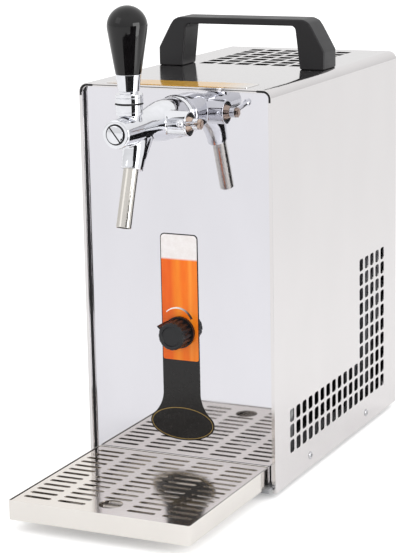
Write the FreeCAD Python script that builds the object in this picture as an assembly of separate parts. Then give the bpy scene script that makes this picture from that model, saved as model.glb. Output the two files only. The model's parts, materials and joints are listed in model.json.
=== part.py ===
import FreeCAD, Part
import math
import os

from FreeCAD import Placement, Rotation, Vector

# Counter-top dry beer cooler with a compensator tap, a thermostat knob and a drip tray.
# Millimetres. X runs to the right seen from the front, Y to the back, Z up.
# While it is modelled, y = 0 is the front rim of the casing and z = 0 its bottom edge.
# On export the whole part moves so that the origin is the centre of its footprint, under the feet.

# Casing and panels
casing_width = 180.0
casing_depth = 305.0
casing_height = 349.0
sheet = 1.0
bend_radius = 8.0
rim_width = 3.0
panel_recess = 5.0
back_recess = 3.0
panel_flange = 12.0
nest_gap = 0.2

# Base plate and feet
base_sheet = 1.5
base_top = 5.9
base_flange = 13.0
lip_reach = 7.0
lip_drop = 4.0
tongue_width = 96.0
tongue_reach = 118.0
foot_radius = 9.0
foot_below_casing = 4.0
foot_inset_x = 27.0
foot_inset_y = 30.0
foot_screw_radius = 2.0

# Vent openings, all of one punch size on the sides
vent_long = 9.5
vent_high = 11.5
vent_pitch_y = 14.24
vent_pitch_z = 14.05
vent_first_y = 38.2
vent_first_z = 32.3
vent_columns = 17
vent_low_rows = 3
vent_tall_columns = 5
vent_tall_rows = 10
vent_chamfer = 1.6
top_vent_x = 13.9
top_vent_y = 13.0
top_vent_pitch_x = 17.9
top_vent_pitch_y = 18.7
top_vent_columns = 6
top_vent_rows = 7
top_vent_first_y = 167.0

# Cover screws
screw_head_radius = 3.6
screw_head_height = 1.2
screw_radius = 1.7
screw_length = 6.0
screw_gap = 0.15
side_screw_z = 11.2
side_screw_front_y = 79.8
side_screw_back_y = 221.5
back_screw_inset = 12.0

# Carrying handle
handle_span = 160.0
handle_depth = 26.0
handle_front_y = 142.0
handle_height = 44.5
handle_bar = 6.0
handle_leg_straight = 16.0
handle_shoulder_x = 66.0
handle_shoulder_z = 38.5
handle_crown_x = 55.0
handle_window_top_x = 51.5
handle_window_base_x = 57.0
handle_window_round = 4.5
handle_shoulder_round = 6.0
handle_edge = 1.8
handle_screw_radius = 2.5
handle_screw_depth = 10.0

# Film labels
film = 0.4
accent_half_width = 66.0
accent_front_y = 4.0
accent_depth = 29.0
accent_round = 3.0
label_width = 35.5
label_top_z = 221.6
label_round = 4.0
label_oval_width = 61.5
label_oval_height = 31.0
label_oval_z = 52.4
label_flare_height = 24.0

# Thermostat
knob_z = 135.0
knob_base_radius = 14.0
knob_face_radius = 12.2
knob_base_thickness = 3.0
knob_depth = 19.0
knob_flutes = 16
knob_flute_radius = 1.3
knob_nib = 3.2
knob_pointer_angle = 57.0
knob_standoff = 0.6
spindle_radius = 3.0
spindle_flat = 0.8
bush_radius = 4.8
bush_length = 9.0
bush_nut_across = 13.0
bush_nut_height = 2.4
thermostat_width = 34.0
thermostat_height = 40.0
thermostat_depth = 26.0
running_gap = 0.05

# Tap, on the axis x = 0. A drop or a rise is measured from the tap's axis.
tap_below_top = 26.0
rosette_radius = 20.5
rosette_thickness = 4.5
housing_radius = 17.3
housing_shoulder = 3.0
housing_length = 20.5
valve_radius = 12.0
valve_start_y = -54.0
valve_front_y = -105.3
stack_y = -80.0
plunger_bore = 6.5
plunger_bore_back_y = -48.0
plunger_gap = 0.08
plunger_half = 9.0
plunger_front_land = 6.0
plunger_back_land = 10.0
neck_radius = 9.5
neck_bore = 7.3
shank_radius = 10.4
shank_bore = 4.0
shank_length = 46.0
shank_into_body = 7.0
shank_nut_across = 30.0
shank_nut_height = 6.0
plug_radius = 8.1
plug_proud = 1.5
plug_recess = 2.6
plug_ring = 1.3
plug_slot_width = 1.3
plug_slot_depth = 1.4
plug_slot_angle = 38.0
plug_thread_length = 3.6

# Spout
spout_radius = 6.25
spout_wall = 0.8
spout_socket_radius = 8.6
spout_socket_depth = 16.0
spout_channel_radius = 4.2
spout_channel_length = 12.0
spout_mouth_y = -80.0
spout_mouth_drop = 32.0
spout_end_y = -96.0
spout_end_drop = 77.4
spout_root_half_x = 10.2
spout_root_half_y = 20.0
spout_root_y = -68.0
spout_waist_half_y = 11.6
spout_waist_drop = 18.0

# Tap lever and grip
pivot_rise = 16.0
collar_radius = 11.0
collar_base_rise = 13.0
collar_rim_rise = 21.1
lever_ball = 6.5
lever_stem = 3.0
lever_finger = 1.8
lever_tip = 2.8
lever_tip_drop = 2.0
lever_slot_gap = 0.3
lever_forward = 25.0
lever_back = 12.0
pivot_pin_radius = 1.5
pivot_pin_half = 10.4
dust_seal_thickness = 0.6
cap_ring_radius = 11.25
cap_ring_base_rise = 22.7
cap_ring_top_rise = 30.0
cap_ring_boss = 7.6
ferrule_base_rise = 31.9
ferrule_top_rise = 45.6
ferrule_base_radius = 8.5
grip_base_radius = 10.5
grip_ball_radius = 16.45
grip_ball_rise = 84.0
stem_top_rise = 40.0

# Compensator on the tap's right side
side_barrel_y = -32.0
side_barrel_radius = 10.6
side_barrel_end_x = 31.0
side_barrel_rim = 1.3
side_barrel_recess = 3.0
gland_tip_radius = 4.6
gland_length = 6.0
comp_spindle_radius = 2.5
comp_hub_radius = 4.6
comp_hub_length = 4.4
comp_lever_radius = 2.1
comp_lever_length = 35.0
comp_lever_rise = 9.0
comp_nut_across = 7.6
comp_nut_height = 2.6
comp_gap = 0.3

# Drip tray and grate
tray_width = 166.2
tray_front_y = -156.5
tray_height = 17.1
tray_wall = 1.0
tray_corner = 2.5
tray_gap = 0.3
grate_side_gap = 0.8
grate_drop = 0.6
grate_sheet = 1.0
grate_slot_length = 25.6
grate_slot_width = 4.6
grate_pitch_x = 32.0
grate_pitch_y = 10.96
grate_columns = 5
grate_rows = 13
grate_last_row_y = -8.6
finger_hole_radius = 10.2
finger_hole_y = -132.0
finger_hole_rows = 2

# Cooling machinery inside
compressor_gap = 3.0
compressor_seam = 1.5
compressor_height = 128.0
compressor_dome = 26.0
compressor_stub_x = 30.0
compressor_stub_rise = 8.0
grommet_radius = 8.0
grommet_height = 9.0
grommet_neck = 3.0
grommet_inset = 4.0
mount_plate = 2.0
condenser_width = 150.0
condenser_height = 150.0
condenser_depth = 26.0
condenser_back_gap = 12.0
condenser_foot_inset = 30.0
condenser_z = 24.0
condenser_fins = 16
condenser_fin = 2.0
condenser_core = 8.0
fan_frame = 130.0
fan_foot = 6.0
fan_depth = 22.0
fan_bore = 57.0
fan_hub = 17.0
fan_blade_tip = 54.0
fan_blades = 5
fan_blade_depth = 14.0
fan_blade_thickness = 2.0
fan_shaft = 2.0
fan_spoke = 6.0
fan_motor_depth = 12.0
shelf_side_gap = 26.8
shelf_front_y = 46.0
shelf_back_y = 108.0
shelf_height = 150.0
block_width = 100.0
block_depth = 56.0
block_height = 112.0
block_round = 6.0
pump_width = 62.0
pump_depth = 58.0
pump_height = 44.0
pump_head_radius = 17.0
pump_head_height = 34.0
pump_fins = 4
line_radius = 3.0
copper_bend = 10.0
copper_rise = 24.0
hose_bend = 12.0
hose_side_gap = 18.0
hose_climb = 38.0

# Back panel equipment
back_slots = 9
back_slot_width = 110.0
back_slot_height = 5.0
back_slot_pitch = 12.0
back_slot_first_z = 70.0
inlet_from_side = 38.0
inlet_z = 36.0
inlet_width = 27.5
inlet_height = 20.0
inlet_flange = 3.0
inlet_wall = 1.8
inlet_key = 4.0
inlet_body_depth = 18.0
inlet_socket_depth = 15.0
inlet_blade_recess = 5.0
switch_width = 13.0
switch_height = 19.5
switch_bezel = 1.6
switch_wall = 1.6
switch_body_depth = 14.0
rocker_reach = 8.5
rocker_pin = 1.6
rocker_half_angle = 9.0
fitting_below_top = 28.0
fitting_radius = 8.0
fitting_length = 17.0
fitting_tube_radius = 4.05
fitting_thread = 5.6
fitting_nut_across = 17.0
fitting_nut_height = 4.0
fitting_from_side = 44.0

# Places worked out from the sizes above
half_width = casing_width / 2
tap_z = casing_height - tap_below_top
spout_mouth_z = tap_z - spout_mouth_drop
spout_end_z = tap_z - spout_end_drop
spout_waist_z = tap_z - spout_waist_drop
pivot_z = tap_z + pivot_rise
collar_base_z = tap_z + collar_base_rise
collar_rim_z = tap_z + collar_rim_rise
lever_tip_z = tap_z - lever_tip_drop
cap_ring_base_z = tap_z + cap_ring_base_rise
cap_ring_top_z = tap_z + cap_ring_top_rise
ferrule_base_z = tap_z + ferrule_base_rise
ferrule_top_z = tap_z + ferrule_top_rise
grip_ball_z = tap_z + grip_ball_rise
stem_top_z = tap_z + stem_top_rise
fitting_z = casing_height - fitting_below_top
inlet_x = half_width - inlet_from_side
switch_x = -inlet_x
air_fitting_x = half_width - fitting_from_side
beer_fitting_x = -air_fitting_x
inner_half = half_width - sheet - nest_gap
inner_top = casing_height - sheet - nest_gap
inner_round = bend_radius - sheet - nest_gap
panel_back_y = panel_recess + sheet
rear_face_y = casing_depth - back_recess
rear_inner_y = rear_face_y - sheet
condenser_back_y = rear_inner_y - panel_flange - condenser_back_gap
fan_front_y = condenser_back_y - condenser_depth - fan_depth
motor_front_y = fan_front_y - fan_motor_depth
compressor_y = (shelf_back_y + motor_front_y) / 2
compressor_radius = (motor_front_y - shelf_back_y) / 2 - compressor_seam - compressor_gap
grommet_spread = compressor_radius - grommet_inset
shelf_width = 2 * (inner_half - shelf_side_gap)
foot_bottom_z = -foot_below_casing
tray_top_z = base_top + tray_height
dome_radius = math.hypot(collar_radius, collar_rim_z - pivot_z)
cap_inner_radius = math.hypot(cap_ring_radius, cap_ring_base_z - pivot_z)
housing_back_y = panel_recess - rosette_thickness
body_bottom = base_top - base_sheet
plunger_radius = plunger_bore - plunger_gap

X = Vector(1, 0, 0)
Y = Vector(0, 1, 0)
Z = Vector(0, 0, 1)
ORIGIN = Vector(0, 0, 0)
PLANE_NORMAL = {"XY": Z, "XZ": Y, "YZ": X}


def in_space(plane, a, b, level):
    """A point of a drawing plane, as a point in space."""
    if plane == "XY":
        return Vector(a, b, level)
    if plane == "XZ":
        return Vector(a, level, b)
    return Vector(level, a, b)


def outline(points, plane="XY", level=0.0, rounds=0.0):
    """Closed wire through points, each corner rounded by its own or the common radius."""
    count = len(points)
    radii = rounds if isinstance(rounds, (list, tuple)) else [rounds] * count
    corners = []
    for index, (a, b) in enumerate(points):
        here = Vector(a, b, 0)
        before = Vector(*points[index - 1], 0).sub(here).normalize()
        after = Vector(*points[(index + 1) % count], 0).sub(here).normalize()
        if radii[index] == 0:
            corners.append((here, None, here))
            continue
        half_turn = before.getAngle(after) / 2
        middle = before.add(after).normalize()
        reach = radii[index] / math.tan(half_turn)
        centre = here.add(middle.multiply(radii[index] / math.sin(half_turn)))
        crown = centre.add(here.sub(centre).normalize().multiply(radii[index]))
        corners.append((here.add(before.multiply(reach)), crown, here.add(after.multiply(reach))))
    edges = []
    for index, (start, crown, end) in enumerate(corners):
        last = corners[index - 1][2]
        if last.distanceToPoint(start) > 1e-6:
            edges.append(Part.LineSegment(in_space(plane, last.x, last.y, level),
                                          in_space(plane, start.x, start.y, level)).toShape())
        if crown is not None:
            edges.append(Part.Arc(in_space(plane, start.x, start.y, level),
                                  in_space(plane, crown.x, crown.y, level),
                                  in_space(plane, end.x, end.y, level)).toShape())
    return Part.Wire(edges)


def prism(points, plane, level, length, rounds=0.0):
    """Solid drawn in a plane at a level and pushed along the plane's normal."""
    face = Part.Face(outline(points, plane, level, rounds))
    return face.extrude(Vector(PLANE_NORMAL[plane]).multiply(length))


def rectangle(low_a, high_a, low_b, high_b):
    return [(low_a, low_b), (high_a, low_b), (high_a, high_b), (low_a, high_b)]


def block(low, high):
    """Box between two corners."""
    return Part.makeBox(high[0] - low[0], high[1] - low[1], high[2] - low[2], Vector(*low))


def rod(radius, start, end):
    """Cylinder from one point to another."""
    base = Vector(*start)
    along = Vector(*end).sub(base)
    return Part.makeCylinder(radius, along.Length, base, along)


def tube(outer, inner, start, end):
    return rod(outer, start, end).cut(rod(inner, start, end))


def turned(profile, origin, axis, rounds=0.0):
    """Solid of revolution. The profile holds radius and distance along the axis."""
    face = Part.Face(outline(profile, "XZ", 0.0, rounds))
    solid = face.revolve(ORIGIN, Z, 360)
    solid.Placement = Placement(Vector(*origin), Rotation(Z, axis))
    return solid


def hexagon(across, origin, axis, height):
    """Hexagonal nut blank on an axis."""
    corner = across / math.sqrt(3)
    points = [(corner * math.cos(math.radians(60 * k)), corner * math.sin(math.radians(60 * k)))
              for k in range(6)]
    solid = prism(points, "XY", 0.0, height)
    solid.Placement = Placement(Vector(*origin), Rotation(Z, axis))
    return solid


def moved(shape, x=0.0, y=0.0, z=0.0):
    copy = shape.copy()
    copy.translate(Vector(x, y, z))
    return copy


def turned_about(shape, centre, axis, degrees):
    copy = shape.copy()
    copy.rotate(Vector(*centre), axis, degrees)
    return copy


def mirrored(shape):
    """The same piece on the other side of the middle plane."""
    return shape.mirror(ORIGIN, X)


def both_sides(shape):
    return Part.makeCompound([shape, mirrored(shape)])


def cased_outline(half, bottom, top, corner):
    """Panel outline: square at the bottom, rounded at the two top corners."""
    return rectangle(-half, half, bottom, top), [0.0, 0.0, corner, corner]


def cased_plate(half, bottom, top, corner, front, thickness):
    points, rounds = cased_outline(half, bottom, top, corner)
    return prism(points, "XZ", front, thickness, rounds)


def side_vent_centres():
    """Centres of the side openings: three long rows, and more rows at the back."""
    first_tall = vent_columns - vent_tall_columns
    for column in range(vent_columns):
        rows = vent_tall_rows if column >= first_tall else vent_low_rows
        for row in range(rows):
            yield vent_first_y + column * vent_pitch_y, vent_first_z + row * vent_pitch_z


def cut_corner(half_a, half_b, corner):
    """Outline of a punched opening with its corners cut off."""
    return [(-half_a + corner, -half_b), (half_a - corner, -half_b), (half_a, -half_b + corner),
            (half_a, half_b - corner), (half_a - corner, half_b), (-half_a + corner, half_b),
            (-half_a, half_b - corner), (-half_a, -half_b + corner)]


def side_screw_places():
    return [(side_screw_front_y, side_screw_z), (side_screw_back_y, side_screw_z)]


def casing_cover():
    """One sheet bent over the top, with a narrow front rim that stops at the bends."""
    points, rounds = cased_outline(half_width, 0.0, casing_height, bend_radius)
    shell = prism(points, "XZ", 0.0, casing_depth, rounds)
    inner = cased_plate(half_width - sheet, -1.0, casing_height - sheet, bend_radius - sheet,
                        -1.0, casing_depth + 2.0)
    shell = shell.cut(inner)
    side_rim = block((half_width - rim_width, 0, 0),
                     (half_width - sheet / 2, sheet, casing_height - bend_radius))
    top_rim = block((-half_width + bend_radius, 0, casing_height - rim_width),
                    (half_width - bend_radius, sheet, casing_height - sheet / 2))
    shell = shell.fuse([side_rim, mirrored(side_rim), top_rim]).removeSplitter()

    opening = prism(cut_corner(vent_long / 2, vent_high / 2, vent_chamfer), "YZ",
                    -half_width - 1, casing_width + 2)
    cutters = [moved(opening, 0, y, z) for y, z in side_vent_centres()]
    top_opening = block((-top_vent_x / 2, -top_vent_y / 2, casing_height - sheet - 1),
                        (top_vent_x / 2, top_vent_y / 2, casing_height + 1))
    first_x = -(top_vent_columns - 1) * top_vent_pitch_x / 2
    for column in range(top_vent_columns):
        for row in range(top_vent_rows):
            cutters.append(moved(top_opening, first_x + column * top_vent_pitch_x,
                                 top_vent_first_y + row * top_vent_pitch_y))
    for y, z in side_screw_places():
        cutters.append(rod(screw_radius + screw_gap, (-half_width - 1, y, z), (half_width + 1, y, z)))
    for x, y in handle_screw_places():
        cutters.append(rod(handle_screw_radius + screw_gap, (x, y, casing_height - sheet - 1),
                           (x, y, casing_height + 1)))
    return shell.cut(cutters)


def flanged_panel(front, toward_back):
    """Sheet panel with a folded edge on both sides and along the top."""
    depth = panel_flange
    start = front if toward_back else front + sheet - depth
    panel = cased_plate(inner_half, base_top, inner_top, inner_round, start, depth)
    hollow_start = front + sheet if toward_back else start - 1
    hollow = cased_plate(inner_half - sheet, base_top - 1, inner_top - sheet, inner_round - sheet,
                         hollow_start, depth)
    return panel.cut(hollow)


def front_panel():
    """Polished panel that carries the tap and the thermostat."""
    panel = flanged_panel(panel_recess, True)
    shank_hole = rod(shank_radius + nest_gap, (0, panel_recess - 1, tap_z), (0, panel_back_y + 1, tap_z))
    bush_hole = rod(bush_radius + nest_gap, (0, panel_recess - 1, knob_z), (0, panel_back_y + 1, knob_z))
    return panel.cut([shank_hole, bush_hole])


def panel_seal():
    """Black rubber strip between the casing rim and the front panel."""
    start = sheet + nest_gap / 2
    depth = panel_recess - start
    width = rim_width - sheet - nest_gap
    strip = cased_plate(inner_half, base_top, inner_top, inner_round, start, depth)
    hollow = cased_plate(inner_half - width, base_top - 1, inner_top - width, inner_round - width,
                         start - 1, depth + 2)
    return strip.cut(hollow)


def foot_places():
    x = half_width - foot_inset_x
    return [(sx * x, y) for sx in (-1, 1) for y in (foot_inset_y, casing_depth - foot_inset_y)]


def base_plate():
    """Folded bottom sheet, with a drop lip and the tongue that carries the drip tray."""
    floor = block((-inner_half, panel_recess, body_bottom), (inner_half, rear_face_y, base_top))
    lip_half = half_width - rim_width - nest_gap * 2
    lip = block((-lip_half, -lip_reach, body_bottom), (lip_half, panel_recess, base_top))
    drop = block((-lip_half, -lip_reach, base_top - lip_drop), (lip_half, base_sheet - lip_reach, base_top))
    tongue = prism(rectangle(-tongue_width / 2, tongue_width / 2, -tongue_reach, 0), "XY",
                   body_bottom, base_sheet, [8.0, 8.0, 0.0, 0.0])
    flange_start = panel_recess + panel_flange + 2
    flange_end = rear_face_y - panel_flange - 2
    flange = block((inner_half - base_sheet, flange_start, base_top - base_sheet / 2),
                   (inner_half, flange_end, base_top + base_flange))
    plate = floor.fuse([lip, drop, tongue, flange, mirrored(flange)]).removeSplitter()
    cutters = [rod(screw_radius + screw_gap, (-half_width, y, z), (half_width, y, z))
               for y, z in side_screw_places()]
    for x, y in foot_places():
        cutters.append(rod(foot_screw_radius + screw_gap, (x, y, 0), (x, y, base_top + 1)))
    return plate.cut(cutters)


def rubber_feet():
    """Four tapered feet, each with its moulded stud through the base."""
    feet = []
    for x, y in foot_places():
        pad = turned([(0, foot_bottom_z), (foot_radius - 1.5, foot_bottom_z),
                      (foot_radius, body_bottom), (0, body_bottom)], (x, y, 0), Z)
        stud = rod(foot_screw_radius, (x, y, body_bottom), (x, y, base_top + 3))
        feet.append(pad.fuse(stud))
    return Part.makeCompound(feet)


def back_panel():
    """Rear sheet with exhaust slots and the holes for the connections."""
    panel = flanged_panel(rear_inner_y, False)
    cutters = []
    for row in range(back_slots):
        z = back_slot_first_z + row * back_slot_pitch
        slot = prism(cut_corner(back_slot_width / 2, back_slot_height / 2, back_slot_height * 0.3), "XZ",
                     rear_inner_y - 1, sheet + 2)
        cutters.append(moved(slot, 0, 0, z))
    cutters.append(block((inlet_x - inlet_width / 2 - nest_gap, rear_inner_y - 1,
                          inlet_z - inlet_height / 2 - nest_gap),
                         (inlet_x + inlet_width / 2 + nest_gap, rear_face_y + 1,
                          inlet_z + inlet_height / 2 + nest_gap)))
    cutters.append(block((switch_x - switch_width / 2 - nest_gap, rear_inner_y - 1,
                          inlet_z - switch_height / 2 - nest_gap),
                         (switch_x + switch_width / 2 + nest_gap, rear_face_y + 1,
                          inlet_z + switch_height / 2 + nest_gap)))
    for x in (beer_fitting_x, air_fitting_x):
        cutters.append(rod(fitting_thread + nest_gap, (x, rear_inner_y - 1, fitting_z),
                           (x, rear_face_y + 1, fitting_z)))
    for x, z in back_screw_places():
        cutters.append(rod(screw_radius + screw_gap, (x, rear_inner_y - 1, z), (x, rear_face_y + 1, z)))
    return panel.cut(cutters)


def screw(head_seat, direction):
    """Low round-headed screw, its head standing on head_seat."""
    head = [(0, screw_head_height), (screw_head_radius * 0.6, screw_head_height),
            (screw_head_radius, 0), (screw_radius, 0), (screw_radius, -screw_length), (0, -screw_length)]
    return turned(head, head_seat, direction)


def side_screws():
    right = Part.makeCompound([screw((half_width, y, z), X) for y, z in side_screw_places()])
    return both_sides(right)


def back_screw_places():
    x = inner_half - back_screw_inset
    levels = (base_top + back_screw_inset, inner_top - back_screw_inset)
    return [(sx * x, z) for sx in (-1, 1) for z in levels]


def back_screws():
    return Part.makeCompound([screw((x, rear_face_y, z), Y) for x, z in back_screw_places()])


def handle_screw_places():
    x = (handle_span / 2 + handle_window_base_x) / 2
    return [(sx * x, handle_front_y + handle_depth / 2) for sx in (-1, 1)]


def carry_handle():
    """Moulded fixed handle: straight feet, slanted shoulders and a flat bar."""
    top = casing_height + handle_height
    half = handle_span / 2
    outer = [(-half, casing_height), (half, casing_height),
             (half, casing_height + handle_leg_straight),
             (handle_shoulder_x, casing_height + handle_shoulder_z),
             (handle_crown_x, top), (-handle_crown_x, top),
             (-handle_shoulder_x, casing_height + handle_shoulder_z),
             (-half, casing_height + handle_leg_straight)]
    soft = handle_shoulder_round
    body = prism(outer, "XZ", handle_front_y, handle_depth, [0, 0, soft, soft, soft, soft, soft, soft])
    edges = [edge for edge in body.Edges
             if edge.BoundBox.YLength < 0.01 and edge.BoundBox.ZMax > casing_height + 0.1]
    body = body.makeFillet(handle_edge, edges)
    bar_under = top - handle_bar
    window = prism([(-handle_window_base_x, casing_height - 1), (handle_window_base_x, casing_height - 1),
                    (handle_window_top_x, bar_under), (-handle_window_top_x, bar_under)],
                   "XZ", handle_front_y - 1, handle_depth + 2,
                   [0, 0, handle_window_round, handle_window_round])
    holes = [rod(handle_screw_radius + screw_gap, (x, y, casing_height - 1),
                 (x, y, casing_height + handle_screw_depth)) for x, y in handle_screw_places()]
    return body.cut([window] + holes)


def handle_screws():
    """Two machine screws from inside the casing up into the handle's feet."""
    screws = []
    for x, y in handle_screw_places():
        seat = casing_height - sheet
        head = rod(screw_head_radius + 1, (x, y, seat - 3), (x, y, seat))
        shank = rod(handle_screw_radius, (x, y, seat), (x, y, casing_height + handle_screw_depth - 1))
        screws.append(head.fuse(shank))
    return Part.makeCompound(screws)


def top_accent_strip():
    points = rectangle(-accent_half_width, accent_half_width, accent_front_y, accent_front_y + accent_depth)
    return prism(points, "XY", casing_height, film, accent_round)


def label_faces():
    """The label's outline in three faces: a tall strip, an oval foot and the flare between them."""
    half = label_width / 2
    strip = Part.Face(outline(rectangle(-half, half, label_oval_z, label_top_z), "XZ",
                              panel_recess - film, [0, 0, label_round, label_round]))
    centre = Vector(0, panel_recess - film, label_oval_z)
    oval = Part.Ellipse(centre.add(Vector(label_oval_width / 2, 0, 0)),
                        centre.add(Vector(0, 0, label_oval_height / 2)), centre)
    oval_face = Part.Face(Part.Wire([oval.toShape()]))
    foot_x = label_oval_width * 0.42
    foot_z = label_oval_z + label_oval_height / 2 * math.sqrt(1 - (foot_x / (label_oval_width / 2)) ** 2)
    start_z = label_oval_z + label_oval_height / 2 + label_flare_height * 0.45
    flank = []
    for side in (-1, 1):
        flank.append(Part.Arc(in_space("XZ", side * half, start_z, centre.y),
                              in_space("XZ", side * (half + 1.6), (start_z + foot_z) / 2 + 1.5, centre.y),
                              in_space("XZ", side * foot_x, foot_z, centre.y)).toShape())
    left, right = flank
    across_top = Part.LineSegment(in_space("XZ", -half, start_z, centre.y),
                                  in_space("XZ", half, start_z, centre.y)).toShape()
    across_foot = Part.LineSegment(in_space("XZ", -foot_x, foot_z, centre.y),
                                   in_space("XZ", foot_x, foot_z, centre.y)).toShape()
    flare = Part.Face(Part.Wire(Part.__sortEdges__([across_top, right, across_foot, left])))
    return [strip, oval_face, flare]


def front_label():
    """Printed film on the front panel, with a hole for the thermostat bush."""
    pieces = [face.extrude(Vector(0, film, 0)) for face in label_faces()]
    hole = rod(bush_radius + nest_gap, (0, 0, knob_z), (0, panel_back_y, knob_z))
    return pieces[0].fuse(pieces[1:]).removeSplitter().cut(hole)


def thermostat_body():
    """Switch box behind the panel with its threaded bush and nut."""
    box_front = panel_back_y
    box = prism(rectangle(-thermostat_width / 2, thermostat_width / 2, knob_z - thermostat_height / 2,
                          knob_z + thermostat_height / 2), "XZ", box_front, thermostat_depth, 2.0)
    bush_end = panel_back_y - bush_length
    bush = rod(bush_radius, (0, bush_end, knob_z), (0, box_front + 1, knob_z))
    bore = rod(spindle_radius + running_gap, (0, bush_end - 1, knob_z),
               (0, box_front + thermostat_depth / 2, knob_z))
    terminals = [block((x - 3, box_front + thermostat_depth - 1, knob_z - 8),
                       (x - 2.2, box_front + thermostat_depth + 7, knob_z)) for x in (-8, 3, 14)]
    return box.fuse([bush] + terminals).cut(bore)


def thermostat_nut():
    """Thin nut on the bush, hidden under the knob."""
    front = panel_recess - film - bush_nut_height
    nut = hexagon(bush_nut_across, (0, front, knob_z), Y, bush_nut_height)
    return nut.cut(rod(bush_radius + running_gap, (0, front - 1, knob_z), (0, panel_recess, knob_z)))


def knob_front_y():
    return panel_recess - film - knob_standoff - knob_depth


def thermostat_spindle():
    """Round spindle with a flat where the knob holds it."""
    front = knob_front_y() + 4
    back = panel_back_y + thermostat_depth / 2 - 2
    shaft = rod(spindle_radius, (0, front, knob_z), (0, back, knob_z))
    flat_end = panel_back_y - bush_length - 1
    flat = block((-spindle_radius, front - 1, knob_z + spindle_radius - spindle_flat),
                 (spindle_radius, flat_end, knob_z + spindle_radius + 1))
    return shaft.cut(flat)


def thermostat_knob():
    """Fluted control knob with a base flange, a dished face and a pointer nib."""
    front = knob_front_y()
    profile = [(0, 0), (knob_face_radius - 1.5, 0), (knob_face_radius, 1.5),
               (knob_face_radius + 0.6, knob_depth - knob_base_thickness),
               (knob_base_radius, knob_depth - knob_base_thickness),
               (knob_base_radius, knob_depth), (0, knob_depth)]
    body = turned(profile, (0, front, knob_z), Y)
    dish = turned([(0, -1), (knob_face_radius - 3, -1), (knob_face_radius - 4, 1.0), (0, 1.0)],
                  (0, front, knob_z), Y)
    flutes = []
    for index in range(knob_flutes):
        angle = 2 * math.pi * (index + 0.5) / knob_flutes
        radius = knob_face_radius + 0.7
        x = radius * math.cos(angle)
        z = knob_z + radius * math.sin(angle)
        flutes.append(rod(knob_flute_radius, (x, front - 1, z),
                          (x, front + knob_depth - knob_base_thickness, z)))
    nib = prism([(-1.4, knob_face_radius - 2), (1.4, knob_face_radius - 2),
                 (0.6, knob_face_radius + knob_nib), (-0.6, knob_face_radius + knob_nib)],
                "XZ", front + 0.6, knob_depth - 0.6)
    nib = turned_about(moved(nib, 0, 0, knob_z), (0, 0, knob_z), Y, -knob_pointer_angle)
    relief_radius = max(bush_nut_across / math.sqrt(3), bush_radius) + 0.8
    relief_depth = bush_length - sheet - film - knob_standoff + 1.5
    relief = rod(relief_radius, (0, front + knob_depth - relief_depth, knob_z),
                 (0, front + knob_depth + 1, knob_z))
    bore = rod(spindle_radius + running_gap, (0, front + 3.9, knob_z), (0, front + knob_depth, knob_z))
    key = block((-spindle_radius, front + 3.9, knob_z + spindle_radius - spindle_flat + running_gap),
                (spindle_radius, front + knob_depth - relief_depth - 1.2, knob_z + spindle_radius + 1))
    bore = bore.cut(key)
    return body.cut([dish] + flutes).fuse(nib).cut([relief, bore])


def tap_rosette():
    """Chrome disc between the tap and the panel."""
    inner = shank_radius + nest_gap
    profile = [(inner, 0), (rosette_radius, 0), (rosette_radius, 1.0),
               (rosette_radius - 1.2, 2.6), (housing_radius - 0.8, rosette_thickness),
               (inner, rosette_thickness)]
    return turned(profile, (0, panel_recess, tap_z), Y.negative())


def tap_shank():
    """Threaded tube that clamps the tap to the panel."""
    start = housing_back_y - shank_into_body
    shank = tube(shank_radius, shank_bore, (0, start, tap_z), (0, start + shank_length, tap_z))
    return shank


def shank_back_nut():
    nut = hexagon(shank_nut_across, (0, panel_back_y, tap_z), Y, shank_nut_height)
    return nut.cut(rod(shank_radius + running_gap, (0, 0, tap_z), (0, panel_back_y + 20, tap_z)))


def spout_direction():
    """Unit vector from the socket's mouth to the open end of the spout."""
    return Vector(0, spout_end_y - spout_mouth_y, spout_end_z - spout_mouth_z).normalize()


def on_spout_axis(distance):
    """Point on the spout's axis, counted from the socket's mouth towards the open end."""
    step = spout_direction().multiply(distance)
    return (0.0, spout_mouth_y + step.y, spout_mouth_z + step.z)


def oval_wire(half_x, half_y, y, z):
    ellipse = Part.Ellipse(ORIGIN, max(half_x, half_y), min(half_x, half_y)).toShape()
    wire = Part.Wire([ellipse])
    if half_y > half_x:
        wire.rotate(ORIGIN, Z, 90)
    wire.translate(Vector(0, y, z))
    return wire


def spout_socket():
    """Tapered outlet under the valve, swept back into the housing."""
    root_z = tap_z - valve_radius * 0.35
    root = oval_wire(spout_root_half_x, spout_root_half_y, spout_root_y, root_z)
    waist_y = spout_mouth_y + (spout_waist_z - spout_mouth_z) * 0.42
    waist = oval_wire(spout_socket_radius + 0.6, spout_waist_half_y, waist_y, spout_waist_z)
    mouth = Part.Wire([Part.Circle(Vector(*on_spout_axis(0)), spout_direction().negative(),
                                   spout_socket_radius).toShape()])
    if mouth.Edges[0].firstVertex().Point.x * root.Edges[0].firstVertex().Point.x < -1e-6:
        mouth.rotate(Vector(*on_spout_axis(0)), spout_direction(), 180)
    return Part.makeLoft([root, waist, mouth], True, False)


def side_barrel():
    """Compensator barrel that stands out to the right."""
    barrel = rod(side_barrel_radius, (0, side_barrel_y, tap_z), (side_barrel_end_x, side_barrel_y, tap_z))
    end_edge = [edge for edge in barrel.Edges if abs(edge.BoundBox.XMin - side_barrel_end_x) < 0.01]
    return barrel.makeFillet(0.6, end_edge)


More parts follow.
